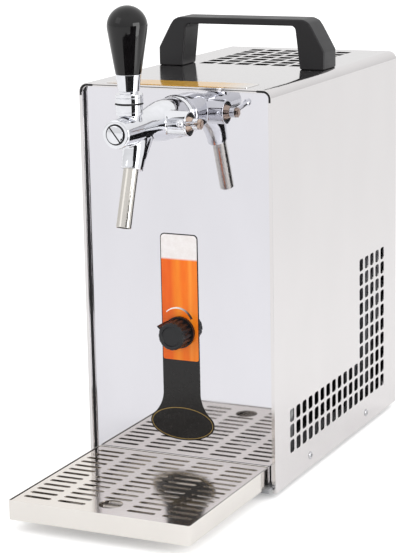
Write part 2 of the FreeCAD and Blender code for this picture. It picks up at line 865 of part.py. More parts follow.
def tap_body():
    """Chrome casting: compensator housing, side barrel, valve, neck and spout socket."""
    back = housing_back_y
    waist = (valve_start_y - back) * 0.66
    profile = [(0, 0), (housing_radius - 2.0, 0), (housing_radius, housing_shoulder),
               (housing_radius, housing_length), (housing_radius - 1.9, -waist),
               (valve_radius, back - valve_start_y),
               (valve_radius, back - valve_front_y), (0, back - valve_front_y)]
    soft = [0, 0, 0, 5.0, 9.0, 6.0, 1.2, 0]
    barrel = turned(profile, (0, back, tap_z), Y.negative(), soft)
    neck = rod(neck_radius, (0, stack_y, tap_z), (0, stack_y, collar_base_z))
    body = barrel.fuse([neck, side_barrel(), spout_socket()])

    cutters = [rod(plunger_bore, (0, valve_front_y - 1, tap_z), (0, plunger_bore_back_y, tap_z)),
               rod(neck_bore, (0, stack_y, tap_z), (0, stack_y, collar_base_z + 1)),
               rod(plug_radius + plug_ring, (0, valve_front_y - 1, tap_z),
                   (0, valve_front_y + plug_recess, tap_z)),
               rod(shank_bore, (0, plunger_bore_back_y - 1, tap_z), (0, back + 1, tap_z)),
               rod(shank_radius + running_gap, (0, back - shank_into_body, tap_z), (0, back + 1, tap_z))]
    seat = on_spout_axis(-spout_socket_depth)
    mouth = on_spout_axis(2)
    cutters.append(rod(spout_radius + running_gap, seat, mouth))
    channel_start = on_spout_axis(-spout_socket_depth - spout_channel_length)
    cutters.append(rod(spout_channel_radius, channel_start, mouth))
    recess_x = side_barrel_end_x - side_barrel_recess
    cutters.append(rod(side_barrel_radius - side_barrel_rim, (recess_x, side_barrel_y, tap_z),
                       (side_barrel_end_x + 1, side_barrel_y, tap_z)))
    cutters.append(rod(comp_spindle_radius + running_gap, (comp_spindle_start(), side_barrel_y, tap_z),
                       (side_barrel_end_x, side_barrel_y, tap_z)))
    return body.cut(cutters)


def spout_tube():
    """Plain steel outlet tube."""
    length = math.hypot(spout_end_y - spout_mouth_y, spout_end_z - spout_mouth_z)
    return tube(spout_radius, spout_radius - spout_wall, on_spout_axis(-spout_socket_depth + 0.1),
                on_spout_axis(length))


def valve_end_plug():
    """Slotted plug that closes the front of the valve."""
    face_y = valve_front_y - plug_proud
    seat_y = valve_front_y + plug_recess
    head = turned([(0, 0), (plug_radius - 0.5, 0), (plug_radius, 0.5), (plug_radius, seat_y - face_y),
                   (0, seat_y - face_y)], (0, face_y, tap_z), Y)
    thread = rod(plunger_bore - running_gap, (0, seat_y, tap_z), (0, seat_y + plug_thread_length, tap_z))
    slot = block((-plug_slot_width / 2, face_y - 1, tap_z - plug_radius - 1),
                 (plug_slot_width / 2, face_y + plug_slot_depth, tap_z + plug_radius + 1))
    slot = turned_about(slot, (0, face_y, tap_z), Y, -plug_slot_angle)
    return head.fuse(thread).cut(slot)


def plug_o_ring():
    """Black ring round the plug's head."""
    start = valve_front_y + 0.4
    return tube(plug_radius + plug_ring - running_gap, plug_radius + running_gap,
                (0, start, tap_z), (0, valve_front_y + plug_recess, tap_z))


def valve_plunger():
    """Sliding valve piston, notched for the lever's finger, with a tapered sealing nose."""
    front = stack_y - plunger_half - plunger_front_land
    back = stack_y + plunger_half + plunger_back_land
    body = turned([(0, 0), (plunger_radius, 0), (plunger_radius, back - front - 4),
                   (plunger_radius - 3, back - front), (0, back - front)], (0, front, tap_z), Y)
    notch_floor = tap_z
    notch = block((-plunger_bore, stack_y - plunger_half, notch_floor),
                  (plunger_bore, stack_y + plunger_half, tap_z + plunger_bore))
    slot_half = lever_tip + lever_slot_gap
    slot = block((-slot_half, stack_y - slot_half, lever_tip_z - slot_half),
                 (slot_half, stack_y + slot_half, tap_z + 1))
    vent = rod(1.5, (0, front - 1, tap_z - 4), (0, back + 1, tap_z - 4))
    groove = tube(plunger_radius + 1, plunger_radius - 1.2, (0, back - 8, tap_z), (0, back - 6, tap_z))
    return body.cut([notch, slot, vent, groove])


def pivot_point():
    return (0.0, stack_y, pivot_z)


def lever_reach_angle(swing):
    """How far the stem's side reaches from upright, in degrees, when the lever swings."""
    return swing + math.degrees(math.asin((lever_stem + lever_slot_gap) / dome_radius))


def lever_collar_nut():
    """Union nut with a domed top and the slot in which the stem swings."""
    nut = rod(collar_radius, (0, stack_y, collar_base_z), (0, stack_y, collar_rim_z))
    dome = Part.makeSphere(dome_radius, Vector(*pivot_point()))
    crown = dome.common(rod(collar_radius, (0, stack_y, collar_rim_z), (0, stack_y, pivot_z + dome_radius)))
    ball_top = pivot_z + lever_ball + lever_slot_gap
    bore = rod(neck_bore, (0, stack_y, collar_base_z - 1), (0, stack_y, ball_top))
    far = dome_radius * 2
    half = lever_stem + lever_slot_gap
    front = math.radians(lever_forward)
    rear = math.radians(lever_back)
    rear_side = (stack_y + half * math.cos(rear), pivot_z - half * math.sin(rear))
    front_side = (stack_y - half * math.cos(front), pivot_z - half * math.sin(front))
    fan = prism([rear_side, (rear_side[0] + far * math.sin(rear), rear_side[1] + far * math.cos(rear)),
                 (front_side[0] - far * math.sin(front), front_side[1] + far * math.cos(front)),
                 front_side], "YZ", -half, 2 * half)
    pin = rod(pivot_pin_radius + running_gap, (-collar_radius - 1, stack_y, pivot_z),
              (collar_radius + 1, stack_y, pivot_z))
    grip_groove = tube(collar_radius + 1, collar_radius - 0.5, (0, stack_y, collar_base_z + 2.2),
                       (0, stack_y, collar_base_z + 2.8))
    return nut.fuse(crown).removeSplitter().cut([bore, fan, pin, grip_groove])


def on_dome(radius, degrees):
    angle = math.radians(degrees)
    return radius * math.sin(angle), radius * math.cos(angle)


def lever_dust_seal():
    """Black rubber ring that lies on the collar's dome under the cap ring."""
    inner = dome_radius + nest_gap / 2
    outer = inner + dust_seal_thickness
    start = lever_reach_angle(lever_forward) + 3
    end = math.degrees(math.acos((collar_rim_z - pivot_z) / dome_radius))
    middle = (start + end) / 2

    def at(radius, angle):
        r, h = on_dome(radius, angle)
        return Vector(r, 0, h)

    edges = [Part.Arc(at(inner, start), at(inner, middle), at(inner, end)).toShape(),
             Part.LineSegment(at(inner, end), at(outer, end)).toShape(),
             Part.Arc(at(outer, end), at(outer, middle), at(outer, start)).toShape(),
             Part.LineSegment(at(outer, start), at(inner, start)).toShape()]
    ring = Part.Face(Part.Wire(edges)).revolve(ORIGIN, Z, 360)
    ring.translate(Vector(*pivot_point()))
    return ring


def lever_pivot_pin():
    return rod(pivot_pin_radius, (-pivot_pin_half, stack_y, pivot_z), (pivot_pin_half, stack_y, pivot_z))


def tap_lever():
    """Ball lever: stem up into the handle, finger down into the plunger."""
    ball = Part.makeSphere(lever_ball, Vector(*pivot_point()))
    stem = rod(lever_stem, pivot_point(), (0, stack_y, stem_top_z))
    finger = rod(lever_finger, (0, stack_y, lever_tip_z), pivot_point())
    tip = Part.makeSphere(lever_tip, Vector(0, stack_y, lever_tip_z))
    pin = rod(pivot_pin_radius + running_gap, (-lever_ball - 1, stack_y, pivot_z),
              (lever_ball + 1, stack_y, pivot_z))
    return ball.fuse([stem, finger, tip]).cut(pin)


def handle_cap_ring():
    """Ring hollowed to a ball shape, so that it rides over the collar's dome."""
    profile = [(0, cap_ring_base_z), (cap_ring_radius, cap_ring_base_z), (cap_ring_radius, cap_ring_top_z),
               (cap_ring_boss, cap_ring_top_z), (cap_ring_boss, ferrule_base_z), (0, ferrule_base_z)]
    ring = turned(profile, (0, stack_y, 0), Z, [0, 0, 1.0, 0, 0, 0])
    hollow = Part.makeSphere(cap_inner_radius, Vector(*pivot_point()))
    hole = rod(lever_stem + running_gap, (0, stack_y, cap_ring_base_z), (0, stack_y, ferrule_base_z + 1))
    middle = (cap_ring_base_z + cap_ring_top_z) / 2
    groove = tube(cap_ring_radius + 1, cap_ring_radius - 0.5, (0, stack_y, middle + 0.4),
                  (0, stack_y, middle + 1.0))
    return ring.cut([hollow, hole, groove])


def handle_ferrule():
    """Chrome cone under the grip."""
    profile = [(0, ferrule_base_z), (ferrule_base_radius, ferrule_base_z),
               (grip_base_radius, ferrule_top_z), (0, ferrule_top_z)]
    ferrule = turned(profile, (0, stack_y, 0), Z)
    hole = rod(lever_stem + running_gap, (0, stack_y, ferrule_base_z - 1), (0, stack_y, stem_top_z + 0.2))
    return ferrule.cut(hole)


def tap_grip():
    """Black teardrop: a cone that runs tangent into a ball."""
    drop = ferrule_top_z - grip_ball_z
    reach = math.hypot(grip_base_radius, drop)
    towards = math.atan2(drop, grip_base_radius)
    touch = towards + math.acos(grip_ball_radius / reach)
    tangent = (grip_ball_radius * math.cos(touch), grip_ball_z + grip_ball_radius * math.sin(touch))
    crown = math.radians((90 + math.degrees(touch)) / 2)
    over = (grip_ball_radius * math.cos(crown), grip_ball_z + grip_ball_radius * math.sin(crown))
    top = Vector(0, 0, grip_ball_z + grip_ball_radius)
    foot = Vector(0, 0, ferrule_top_z)
    base = Vector(grip_base_radius, 0, ferrule_top_z)
    touch_point = Vector(tangent[0], 0, tangent[1])
    edges = [Part.LineSegment(foot, base).toShape(), Part.LineSegment(base, touch_point).toShape(),
             Part.Arc(touch_point, Vector(over[0], 0, over[1]), top).toShape(),
             Part.LineSegment(top, foot).toShape()]
    grip = Part.Face(Part.Wire(edges)).revolve(ORIGIN, Z, 360)
    grip.translate(Vector(0, stack_y, 0))
    return grip


def comp_spindle_start():
    return side_barrel_end_x - side_barrel_recess - 12.0


def gland_tip_x():
    return side_barrel_end_x - side_barrel_recess + gland_length


def compensator_gland():
    """Conical brass gland in the end of the side barrel."""
    base_x = side_barrel_end_x - side_barrel_recess
    base_radius = side_barrel_radius - side_barrel_rim - nest_gap
    profile = [(0, 0), (base_radius, 0), (base_radius, 1.2), (gland_tip_radius, gland_length - 1),
               (gland_tip_radius, gland_length), (0, gland_length)]
    gland = turned(profile, (base_x, side_barrel_y, tap_z), X)
    return gland.cut(rod(comp_spindle_radius + running_gap, (base_x - 1, side_barrel_y, tap_z),
                         (base_x + gland_length + 1, side_barrel_y, tap_z)))


def comp_hub_x():
    return gland_tip_x() + comp_gap


def compensator_spindle():
    """Brass spindle that the small lever turns."""
    end = comp_hub_x() + comp_hub_length + comp_nut_height + 0.6
    return rod(comp_spindle_radius, (comp_spindle_start() + 0.3, side_barrel_y, tap_z),
               (end, side_barrel_y, tap_z))


def compensator_lever():
    """Small flow lever: a hub on the spindle and a round-ended rod."""
    x = comp_hub_x()
    hub = rod(comp_hub_radius, (x, side_barrel_y, tap_z), (x + comp_hub_length, side_barrel_y, tap_z))
    rise = math.radians(comp_lever_rise)
    reach = comp_lever_length - comp_lever_radius
    tip = (x + comp_hub_length / 2, side_barrel_y - reach * math.cos(rise), tap_z + reach * math.sin(rise))
    arm = rod(comp_lever_radius, (x + comp_hub_length / 2, side_barrel_y, tap_z), tip)
    end = Part.makeSphere(comp_lever_radius, Vector(*tip))
    bore = rod(comp_spindle_radius + running_gap, (x - 3, side_barrel_y, tap_z),
               (x + comp_hub_length + 3, side_barrel_y, tap_z))
    return hub.fuse([arm, end]).cut(bore)


def compensator_lever_nut():
    start = comp_hub_x() + comp_hub_length + running_gap
    nut = hexagon(comp_nut_across, (start, side_barrel_y, tap_z), X, comp_nut_height)
    return nut.cut(rod(comp_spindle_radius + running_gap, (start - 1, side_barrel_y, tap_z),
                       (start + comp_nut_height + 1, side_barrel_y, tap_z)))


def tray_back_y():
    return panel_recess - film - tray_gap


def drip_tray():
    """Folded shallow pan."""
    half = tray_width / 2
    outer = prism(rectangle(-half, half, tray_front_y, tray_back_y()), "XY",
                  base_top + tray_gap / 3, tray_height - tray_gap / 3, tray_corner)
    inner = prism(rectangle(-half + tray_wall, half - tray_wall, tray_front_y + tray_wall,
                            tray_back_y() - tray_wall), "XY",
                  base_top + tray_gap / 3 + tray_wall, tray_height, tray_corner - tray_wall)
    return outer.cut(inner)


def grate_slot_centres():
    """Slot centres, without the ones that the finger hole replaces."""
    middle = (grate_columns - 1) / 2
    for column in range(grate_columns):
        for row in range(grate_rows):
            near_front = row >= grate_rows - finger_hole_rows
            if column == middle and near_front:
                continue
            yield (column - middle) * grate_pitch_x, grate_last_row_y - row * grate_pitch_y


def drip_grate():
    """Slotted sheet that stands in the tray on its folded sides."""
    half = tray_width / 2 - tray_wall - grate_side_gap
    front = tray_front_y + tray_wall + grate_side_gap
    back = tray_back_y() - tray_wall - grate_side_gap
    top = tray_top_z - grate_drop
    plate = prism(rectangle(-half, half, front, back), "XY", top - grate_sheet, grate_sheet, 1.0)
    floor = base_top + tray_gap / 3 + tray_wall + tray_gap / 3
    leg = block((half - grate_sheet, front + 6, floor), (half, back - 6, top - grate_sheet / 2))
    grate = plate.fuse([leg, mirrored(leg)]).removeSplitter()
    slot = prism(cut_corner(grate_slot_length / 2, grate_slot_width / 2, grate_slot_width * 0.3), "XY",
                 top - grate_sheet - 1, grate_sheet + 2)
    cutters = [moved(slot, x, y) for x, y in grate_slot_centres()]
    cutters.append(rod(finger_hole_radius, (0, finger_hole_y, floor), (0, finger_hole_y, top + 1)))
    return grate.cut(cutters)


def refrigeration_compressor():
    """Domed compressor shell on its mounting plate."""
    foot_z = base_top + grommet_height
    plate_half = grommet_spread + grommet_radius + 2
    plate = prism(rectangle(-plate_half, plate_half, compressor_y - plate_half, compressor_y + plate_half),
                  "XY", foot_z, mount_plate, 10.0)
    top = foot_z + mount_plate + compressor_height
    profile = [(0, foot_z + mount_plate), (compressor_radius - 6, foot_z + mount_plate),
               (compressor_radius, foot_z + mount_plate + 10), (compressor_radius, top - compressor_dome),
               (compressor_radius * 0.55, top), (0, top)]
    shell = turned(profile, (0, compressor_y, 0), Z, [0, 0, 0, 18.0, 0, 0])
    seam_z = foot_z + mount_plate + compressor_height * 0.55
    seam = rod(compressor_radius + compressor_seam, (0, compressor_y, seam_z), (0, compressor_y, seam_z + 3))
    body = plate.fuse([shell, seam])
    stubs = [rod(line_radius, (x, compressor_y, top - compressor_dome),
                 (x, compressor_y, top + compressor_stub_rise))
             for x in (-compressor_stub_x, compressor_stub_x)]
    holes = [rod(grommet_neck + nest_gap, (x, y, foot_z - 1), (x, y, foot_z + mount_plate + 1))
             for x, y in grommet_places()]
    return body.fuse(stubs).cut(holes)


def grommet_places():
    return [(sx * grommet_spread, compressor_y + sy * grommet_spread) for sx in (-1, 1) for sy in (-1, 1)]


def compressor_grommets():
    """Rubber mounts with their bolts' necks."""
    mounts = []
    for x, y in grommet_places():
        top = base_top + grommet_height
        pad = rod(grommet_radius, (x, y, base_top), (x, y, top))
        neck = rod(grommet_neck, (x, y, top), (x, y, top + mount_plate + 3))
        mounts.append(pad.fuse(neck))
    return Part.makeCompound(mounts)


def condenser():
    """Finned heat exchanger that stands on two feet."""
    back = condenser_back_y
    front = back - condenser_depth
    half = condenser_width / 2
    core = block((-half, front + (condenser_depth - condenser_core) / 2, condenser_z),
                 (half, back - (condenser_depth - condenser_core) / 2, condenser_z + condenser_height))
    pitch = (condenser_width - condenser_fin) / (condenser_fins - 1)
    fins = [block((-half + k * pitch, front, condenser_z),
                  (-half + k * pitch + condenser_fin, back, condenser_z + condenser_height))
            for k in range(condenser_fins)]
    foot_x = half - condenser_foot_inset
    foot = block((foot_x - 5, front, base_top), (foot_x + 5, back, condenser_z))
    return core.fuse(fins + [foot, mirrored(foot)]).removeSplitter()


def fan_axis():
    """Middle of the fan frame: how far back and how high."""
    return fan_front_y + fan_depth / 2, base_top + fan_foot + fan_frame / 2


def fan_shroud():
    """Square fan frame with three spokes that carry the motor."""
    y, z = fan_axis()
    front = y - fan_depth / 2
    half = fan_frame / 2
    frame = prism(rectangle(-half, half, z - half, z + half), "XZ", front, fan_depth, 8.0)
    frame = frame.cut(rod(fan_bore, (0, front - 1, z), (0, front + fan_depth + 1, z)))
    foot = block((-half + 8, front, base_top), (-half + 20, front + fan_depth, z - half + 2))
    ring = rod(fan_hub, (0, front, z), (0, front + 3, z))
    spokes = []
    for index in range(3):
        spoke = block((-fan_spoke / 2, front, z), (fan_spoke / 2, front + 3, z + fan_bore + 1))
        spokes.append(turned_about(spoke, (0, 0, z), Y, 120 * index + 60))
    return frame.fuse([foot, mirrored(foot), ring] + spokes)


def fan_motor():
    """Motor can behind the spokes, with the shaft that carries the impeller."""
    y, z = fan_axis()
    front = y - fan_depth / 2
    can = rod(fan_hub - 2, (0, front - fan_motor_depth, z), (0, front, z))
    return can


def fan_impeller():
    """Five twisted blades on a hub cup that turns on a stub axle."""
    y, z = fan_axis()
    hub_front = y - fan_depth / 2 + 3 + 0.8
    hub_back = y + fan_depth / 2 - 1
    hub = rod(fan_hub, (0, hub_front, z), (0, hub_back, z))
    middle = (hub_front + hub_back) / 2
    blades = []
    for index in range(fan_blades):
        blade = block((-fan_blade_thickness / 2, middle - fan_blade_depth / 2, z + fan_hub - 3),
                      (fan_blade_thickness / 2, middle + fan_blade_depth / 2, z + fan_blade_tip))
        blade = turned_about(blade, (0, middle, z), Z, 48)
        blades.append(turned_about(blade, (0, middle, z), Y, 360 / fan_blades * index))
    reach = rod(fan_blade_tip, (0, hub_front, z), (0, hub_back, z))
    blades = [blade.common(reach) for blade in blades]
    bore = rod(fan_shaft + running_gap, (0, hub_front - 1, z), (0, hub_back - 2, z))
    return hub.fuse(blades).cut(bore)


def fan_axle():
    y, z = fan_axis()
    start = y - fan_depth / 2 + 3
    return rod(fan_shaft, (0, start, z), (0, y + fan_depth / 2 - 3.5, z))


def block_shelf():
    """Folded stand that holds the cooling block above the air pump."""
    half = shelf_width / 2
    top = base_top + shelf_height
    outer = prism(rectangle(-half, half, base_top, top), "XZ", shelf_front_y,
                  shelf_back_y - shelf_front_y, [0, 0, 3.0, 3.0])
    inner = prism(rectangle(-half + base_sheet, half - base_sheet, base_top - 1, top - base_sheet), "XZ",
                  shelf_front_y - 1, shelf_back_y - shelf_front_y + 2, [0, 0, 1.5, 1.5])
    foot = block((half - base_sheet, shelf_front_y, base_top),
                 (half + 10, shelf_back_y, base_top + base_sheet))
    window = block((-half - 1, shelf_front_y + 12, base_top + 20),
                   (half + 1, shelf_back_y - 12, top - 20))
    return outer.cut(inner).fuse([foot, mirrored(foot)]).removeSplitter().cut(window)


def cooling_block():
    """Insulated aluminium block with the beer coil inside."""
    middle = (shelf_front_y + shelf_back_y) / 2
    bottom = base_top + shelf_height
    body = prism(rectangle(-block_width / 2, block_width / 2, middle - block_depth / 2,
                           middle + block_depth / 2), "XY", bottom, block_height, block_round)
    return body


def air_compressor():
    """Small oil-free air pump: motor block and a finned cylinder."""
    middle = (shelf_front_y + shelf_back_y) / 2
    base = prism(rectangle(-pump_width / 2, pump_width / 2, middle - pump_depth / 2 + 4,
                           middle + pump_depth / 2 - 4), "XY", base_top, pump_height, 5.0)
    top = base_top + pump_height
    cylinder = rod(pump_head_radius - 3, (0, middle, top - 1), (0, middle, top + pump_head_height))
    step = pump_head_height / pump_fins
    fins = [rod(pump_head_radius, (0, middle, top + step * (k + 0.5)), (0, middle, top + step * (k + 1)))
            for k in range(pump_fins)]
    return base.fuse([cylinder] + fins)


def bent_line(radius, points, bend):
    """Round tube along straight runs joined by tangent arcs."""
    corners = [Vector(*p) for p in points]
    edges = []
    last = corners[0]
    for before, here, after in zip(corners, corners[1:], corners[2:]):
        back = before.sub(here).normalize()
        ahead = after.sub(here).normalize()
        half_turn = back.getAngle(ahead) / 2
        reach = bend / math.tan(half_turn)
        start = here.add(Vector(back).multiply(reach))
        end = here.add(Vector(ahead).multiply(reach))
        inward = back.add(ahead).normalize()
        centre = here.add(inward.multiply(bend / math.sin(half_turn)))
        crown = centre.add(here.sub(centre).normalize().multiply(bend))
        edges.append(Part.LineSegment(last, start).toShape())
        edges.append(Part.Arc(start, crown, end).toShape())
        last = end
    edges.append(Part.LineSegment(last, corners[-1]).toShape())
    path = Part.Wire(edges)
    first = corners[1].sub(corners[0])
    section = Part.Wire([Part.Circle(corners[0], first, radius).toShape()])
    return path.makePipeShell([section], True, False)


def product_line():
    """Beer tube from the cooling block up to the tap's shank."""
    shank_end = housing_back_y - shank_into_body + shank_length
    top = base_top + shelf_height + block_height
    y = (shelf_front_y + shelf_back_y) / 2
    return bent_line(line_radius, [(0, shank_end, tap_z), (0, y, tap_z), (0, y, top)], hose_bend)


def beer_supply_line():
    """Beer tube from the rear fitting to the cooling block."""
    start = rear_inner_y - fitting_nut_height - 6
    top = base_top + shelf_height + block_height
    y = (shelf_front_y + shelf_back_y) / 2
    x = beer_fitting_x * 0.6
    return bent_line(line_radius, [(beer_fitting_x, start, fitting_z), (x, y, fitting_z), (x, y, top)],
                     hose_bend)


def air_line():
    """Air tube from the pump's head to the rear outlet."""
    start = rear_inner_y - fitting_nut_height - 6
    x = inner_half - hose_side_gap
    pump_y = (shelf_front_y + shelf_back_y) / 2
    z = base_top + pump_height * 0.75
    return bent_line(line_radius, [(pump_width / 2, pump_y, z), (x, pump_y, z),
                                   (x, shelf_back_y + hose_climb, fitting_z),
                                   (air_fitting_x, start, fitting_z)], hose_bend)


def fitting(x):
    """Push-fit bulkhead connector: collet end outside, nut and thread inside."""
    outside = turned([(fitting_tube_radius, 0), (fitting_radius + 1.5, 0), (fitting_radius + 1.5, 4),
                      (fitting_radius, 4), (fitting_radius, fitting_length - 3),
                      (fitting_radius - 1.5, fitting_length), (fitting_tube_radius, fitting_length)],
                     (x, rear_face_y, fitting_z), Y)
    thread = tube(fitting_thread, line_radius + running_gap, (x, rear_inner_y - fitting_nut_height - 6,
                                                                fitting_z), (x, rear_face_y, fitting_z))
    step = tube(fitting_thread, line_radius, (x, rear_face_y, fitting_z), (x, rear_face_y + 2, fitting_z))
    return outside.fuse([thread, step])


def fitting_nuts():
    nuts = []
    for x in (beer_fitting_x, air_fitting_x):
        nut = hexagon(fitting_nut_across, (x, rear_inner_y - fitting_nut_height, fitting_z), Y,
                      fitting_nut_height)
        nuts.append(nut.cut(rod(fitting_thread + running_gap, (x, rear_inner_y - 20, fitting_z),
                                (x, rear_face_y, fitting_z))))
    return Part.makeCompound(nuts)


def mains_inlet():
    """Appliance inlet: flange, recessed socket and three blades."""
    flange_x = inlet_width / 2 + inlet_flange
    flange_z = inlet_height / 2 + inlet_flange
    flange = prism(rectangle(inlet_x - flange_x, inlet_x + flange_x, inlet_z - flange_z, inlet_z + flange_z),
                   "XZ", rear_face_y, 2.0, 3.0)
    body = block((inlet_x - inlet_width / 2, rear_face_y - inlet_body_depth, inlet_z - inlet_height / 2),
                 (inlet_x + inlet_width / 2, rear_face_y + 1, inlet_z + inlet_height / 2))
    socket_x = inlet_width / 2 - inlet_wall
    socket_z = inlet_height / 2 - inlet_wall
    cavity = prism([(-socket_x, -socket_z), (socket_x, -socket_z), (socket_x, socket_z - inlet_key),
                    (socket_x - inlet_key, socket_z), (-socket_x + inlet_key, socket_z),
                    (-socket_x, socket_z - inlet_key)],
                   "XZ", rear_face_y - inlet_socket_depth, inlet_socket_depth + 5)
    cavity = moved(cavity, inlet_x, 0, inlet_z)
    blades = [block((inlet_x + dx - 1, rear_face_y - inlet_socket_depth - 0.5, inlet_z + dz - 2.5),
                    (inlet_x + dx + 1, rear_face_y - inlet_blade_recess, inlet_z + dz + 2.5))
              for dx, dz in ((-7, -2), (0, 2), (7, -2))]
    return flange.fuse(body).cut(cavity).fuse(blades)


def rocker_pivot():
    return (switch_x, rear_face_y - 1.5, inlet_z)


def switch_housing():
    """Rocker switch frame snapped into the back panel."""
    half_x = switch_width / 2
    half_z = switch_height / 2
    bezel = prism(rectangle(switch_x - half_x - switch_bezel, switch_x + half_x + switch_bezel,
                            inlet_z - half_z - switch_bezel, inlet_z + half_z + switch_bezel),
                  "XZ", rear_face_y, 2.0, 1.5)
    body = block((switch_x - half_x, rear_face_y - switch_body_depth, inlet_z - half_z),
                 (switch_x + half_x, rear_face_y + 1, inlet_z + half_z))
    well = block((switch_x - half_x + switch_wall, rear_face_y - switch_body_depth + 3,
                  inlet_z - rocker_reach - 0.4),
                 (switch_x + half_x - switch_wall, rear_face_y + 3, inlet_z + rocker_reach + 0.4))
    x, y, z = rocker_pivot()
    pin_holes = rod(rocker_pin + running_gap, (x - half_x + 0.6, y, z), (x + half_x - 0.6, y, z))
    blades = [block((switch_x - 2.4, rear_face_y - switch_body_depth - 7, inlet_z + dz - 0.4),
                    (switch_x + 2.4, rear_face_y - switch_body_depth + 1, inlet_z + dz + 0.4))
              for dz in (-6, 0, 6)]
    return bezel.fuse([body] + blades).cut([well, pin_holes])


def switch_rocker():
    """Rocker with two shallow faces on one cross pin, resting with its upper half pressed."""
    x, y, z = rocker_pivot()
    half_x = switch_width / 2 - switch_wall - 0.3
    end_z = rocker_reach * math.cos(math.radians(27))
    end_y = rocker_reach * math.sin(math.radians(27))
    profile = [(y - 1.8, z - end_z + 1.6), (y + end_y, z - end_z), (y + end_y * 0.62, z),
               (y + end_y, z + end_z), (y - 1.8, z + end_z - 1.6)]
    face = prism(profile, "YZ", x - half_x, 2 * half_x)
    rocker = turned_about(face, (x, y, z), X, rocker_half_angle)
    pin = rod(rocker_pin, (x - switch_width / 2 + 0.8, y, z), (x + switch_width / 2 - 0.8, y, z))
    return rocker.fuse(pin)


def refrigerant_lines():
    """Copper lines from the compressor to the condenser and the cooling block."""
    top = base_top + grommet_height + mount_plate + compressor_height + compressor_stub_rise
    run_z = top + copper_rise
    x = compressor_stub_x
    block_back = (shelf_front_y + shelf_back_y) / 2 + block_depth / 2
    suction = bent_line(line_radius, [(-x, compressor_y, top), (-x, compressor_y, run_z),
                                      (-x, block_back, run_z)], copper_bend)
    back = condenser_back_y - condenser_depth / 2
    discharge = bent_line(line_radius, [(x, compressor_y, top), (x, compressor_y, run_z),
                                        (x, back, run_z),
                                        (x, back, condenser_z + condenser_height)], copper_bend)
    return Part.makeCompound([suction, discharge])


NODES = {
    "casing_cover": casing_cover,
    "front_panel": front_panel,
    "panel_seal": panel_seal,
    "base_plate": base_plate,
    "back_panel": back_panel,
    "rubber_feet": rubber_feet,
    "side_screws": side_screws,
    "back_screws": back_screws,
    "carry_handle": carry_handle,
    "handle_screws": handle_screws,
    "top_accent_strip": top_accent_strip,
    "front_label": front_label,
    "thermostat_body": thermostat_body,
    "thermostat_nut": thermostat_nut,
    "thermostat_spindle": thermostat_spindle,
    "thermostat_knob": thermostat_knob,
    "tap_rosette": tap_rosette,
    "tap_shank": tap_shank,
    "shank_back_nut": shank_back_nut,
    "tap_body": tap_body,
    "spout_tube": spout_tube,
    "valve_end_plug": valve_end_plug,
    "plug_o_ring": plug_o_ring,
    "valve_plunger": valve_plunger,
    "lever_collar_nut": lever_collar_nut,
    "lever_dust_seal": lever_dust_seal,
    "lever_pivot_pin": lever_pivot_pin,
    "tap_lever": tap_lever,
    "handle_cap_ring": handle_cap_ring,
    "handle_ferrule": handle_ferrule,
    "tap_grip": tap_grip,
    "compensator_gland": compensator_gland,
    "compensator_spindle": compensator_spindle,
    "compensator_lever": compensator_lever,
    "compensator_lever_nut": compensator_lever_nut,
    "drip_tray": drip_tray,
    "drip_grate": drip_grate,
    "refrigeration_compressor": refrigeration_compressor,
    "compressor_grommets": compressor_grommets,
    "condenser": condenser,
    "fan_shroud": fan_shroud,
    "fan_motor": fan_motor,
    "fan_axle": fan_axle,
    "fan_impeller": fan_impeller,
    "block_shelf": block_shelf,
    "cooling_block": cooling_block,
    "air_compressor": air_compressor,
    "product_line": product_line,
    "beer_supply_line": beer_supply_line,
    "air_line": air_line,
    "refrigerant_lines": refrigerant_lines,
    "beer_inlet_fitting": lambda: fitting(beer_fitting_x),
    "air_outlet_fitting": lambda: fitting(air_fitting_x),
    "fitting_nuts": fitting_nuts,
    "mains_inlet": mains_inlet,
    "switch_housing": switch_housing,
    "switch_rocker": switch_rocker,
}


def to_part_frame():
    """Move from the casing's front rim to the centre of the footprint, under the feet."""
    rearmost = rear_face_y + fitting_length
    return Vector(0, -(tray_front_y + rearmost) / 2, foot_below_casing)


os.makedirs("parts", exist_ok=True)
shift = to_part_frame()
for node, build in NODES.items():
    shape = build()
    shape.translate(shift)
    bad = "" if shape.isValid() else "  NOT VALID"
    print(node, len(shape.Solids), round(shape.Volume, 1), bad)
    shape.exportStep("parts/" + node + ".step")
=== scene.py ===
import json
import math

import bpy
from bpy.props import FloatProperty, FloatVectorProperty, IntProperty, PointerProperty
from bpy.types import Operator, Panel, PropertyGroup
from mathutils import Matrix, Vector

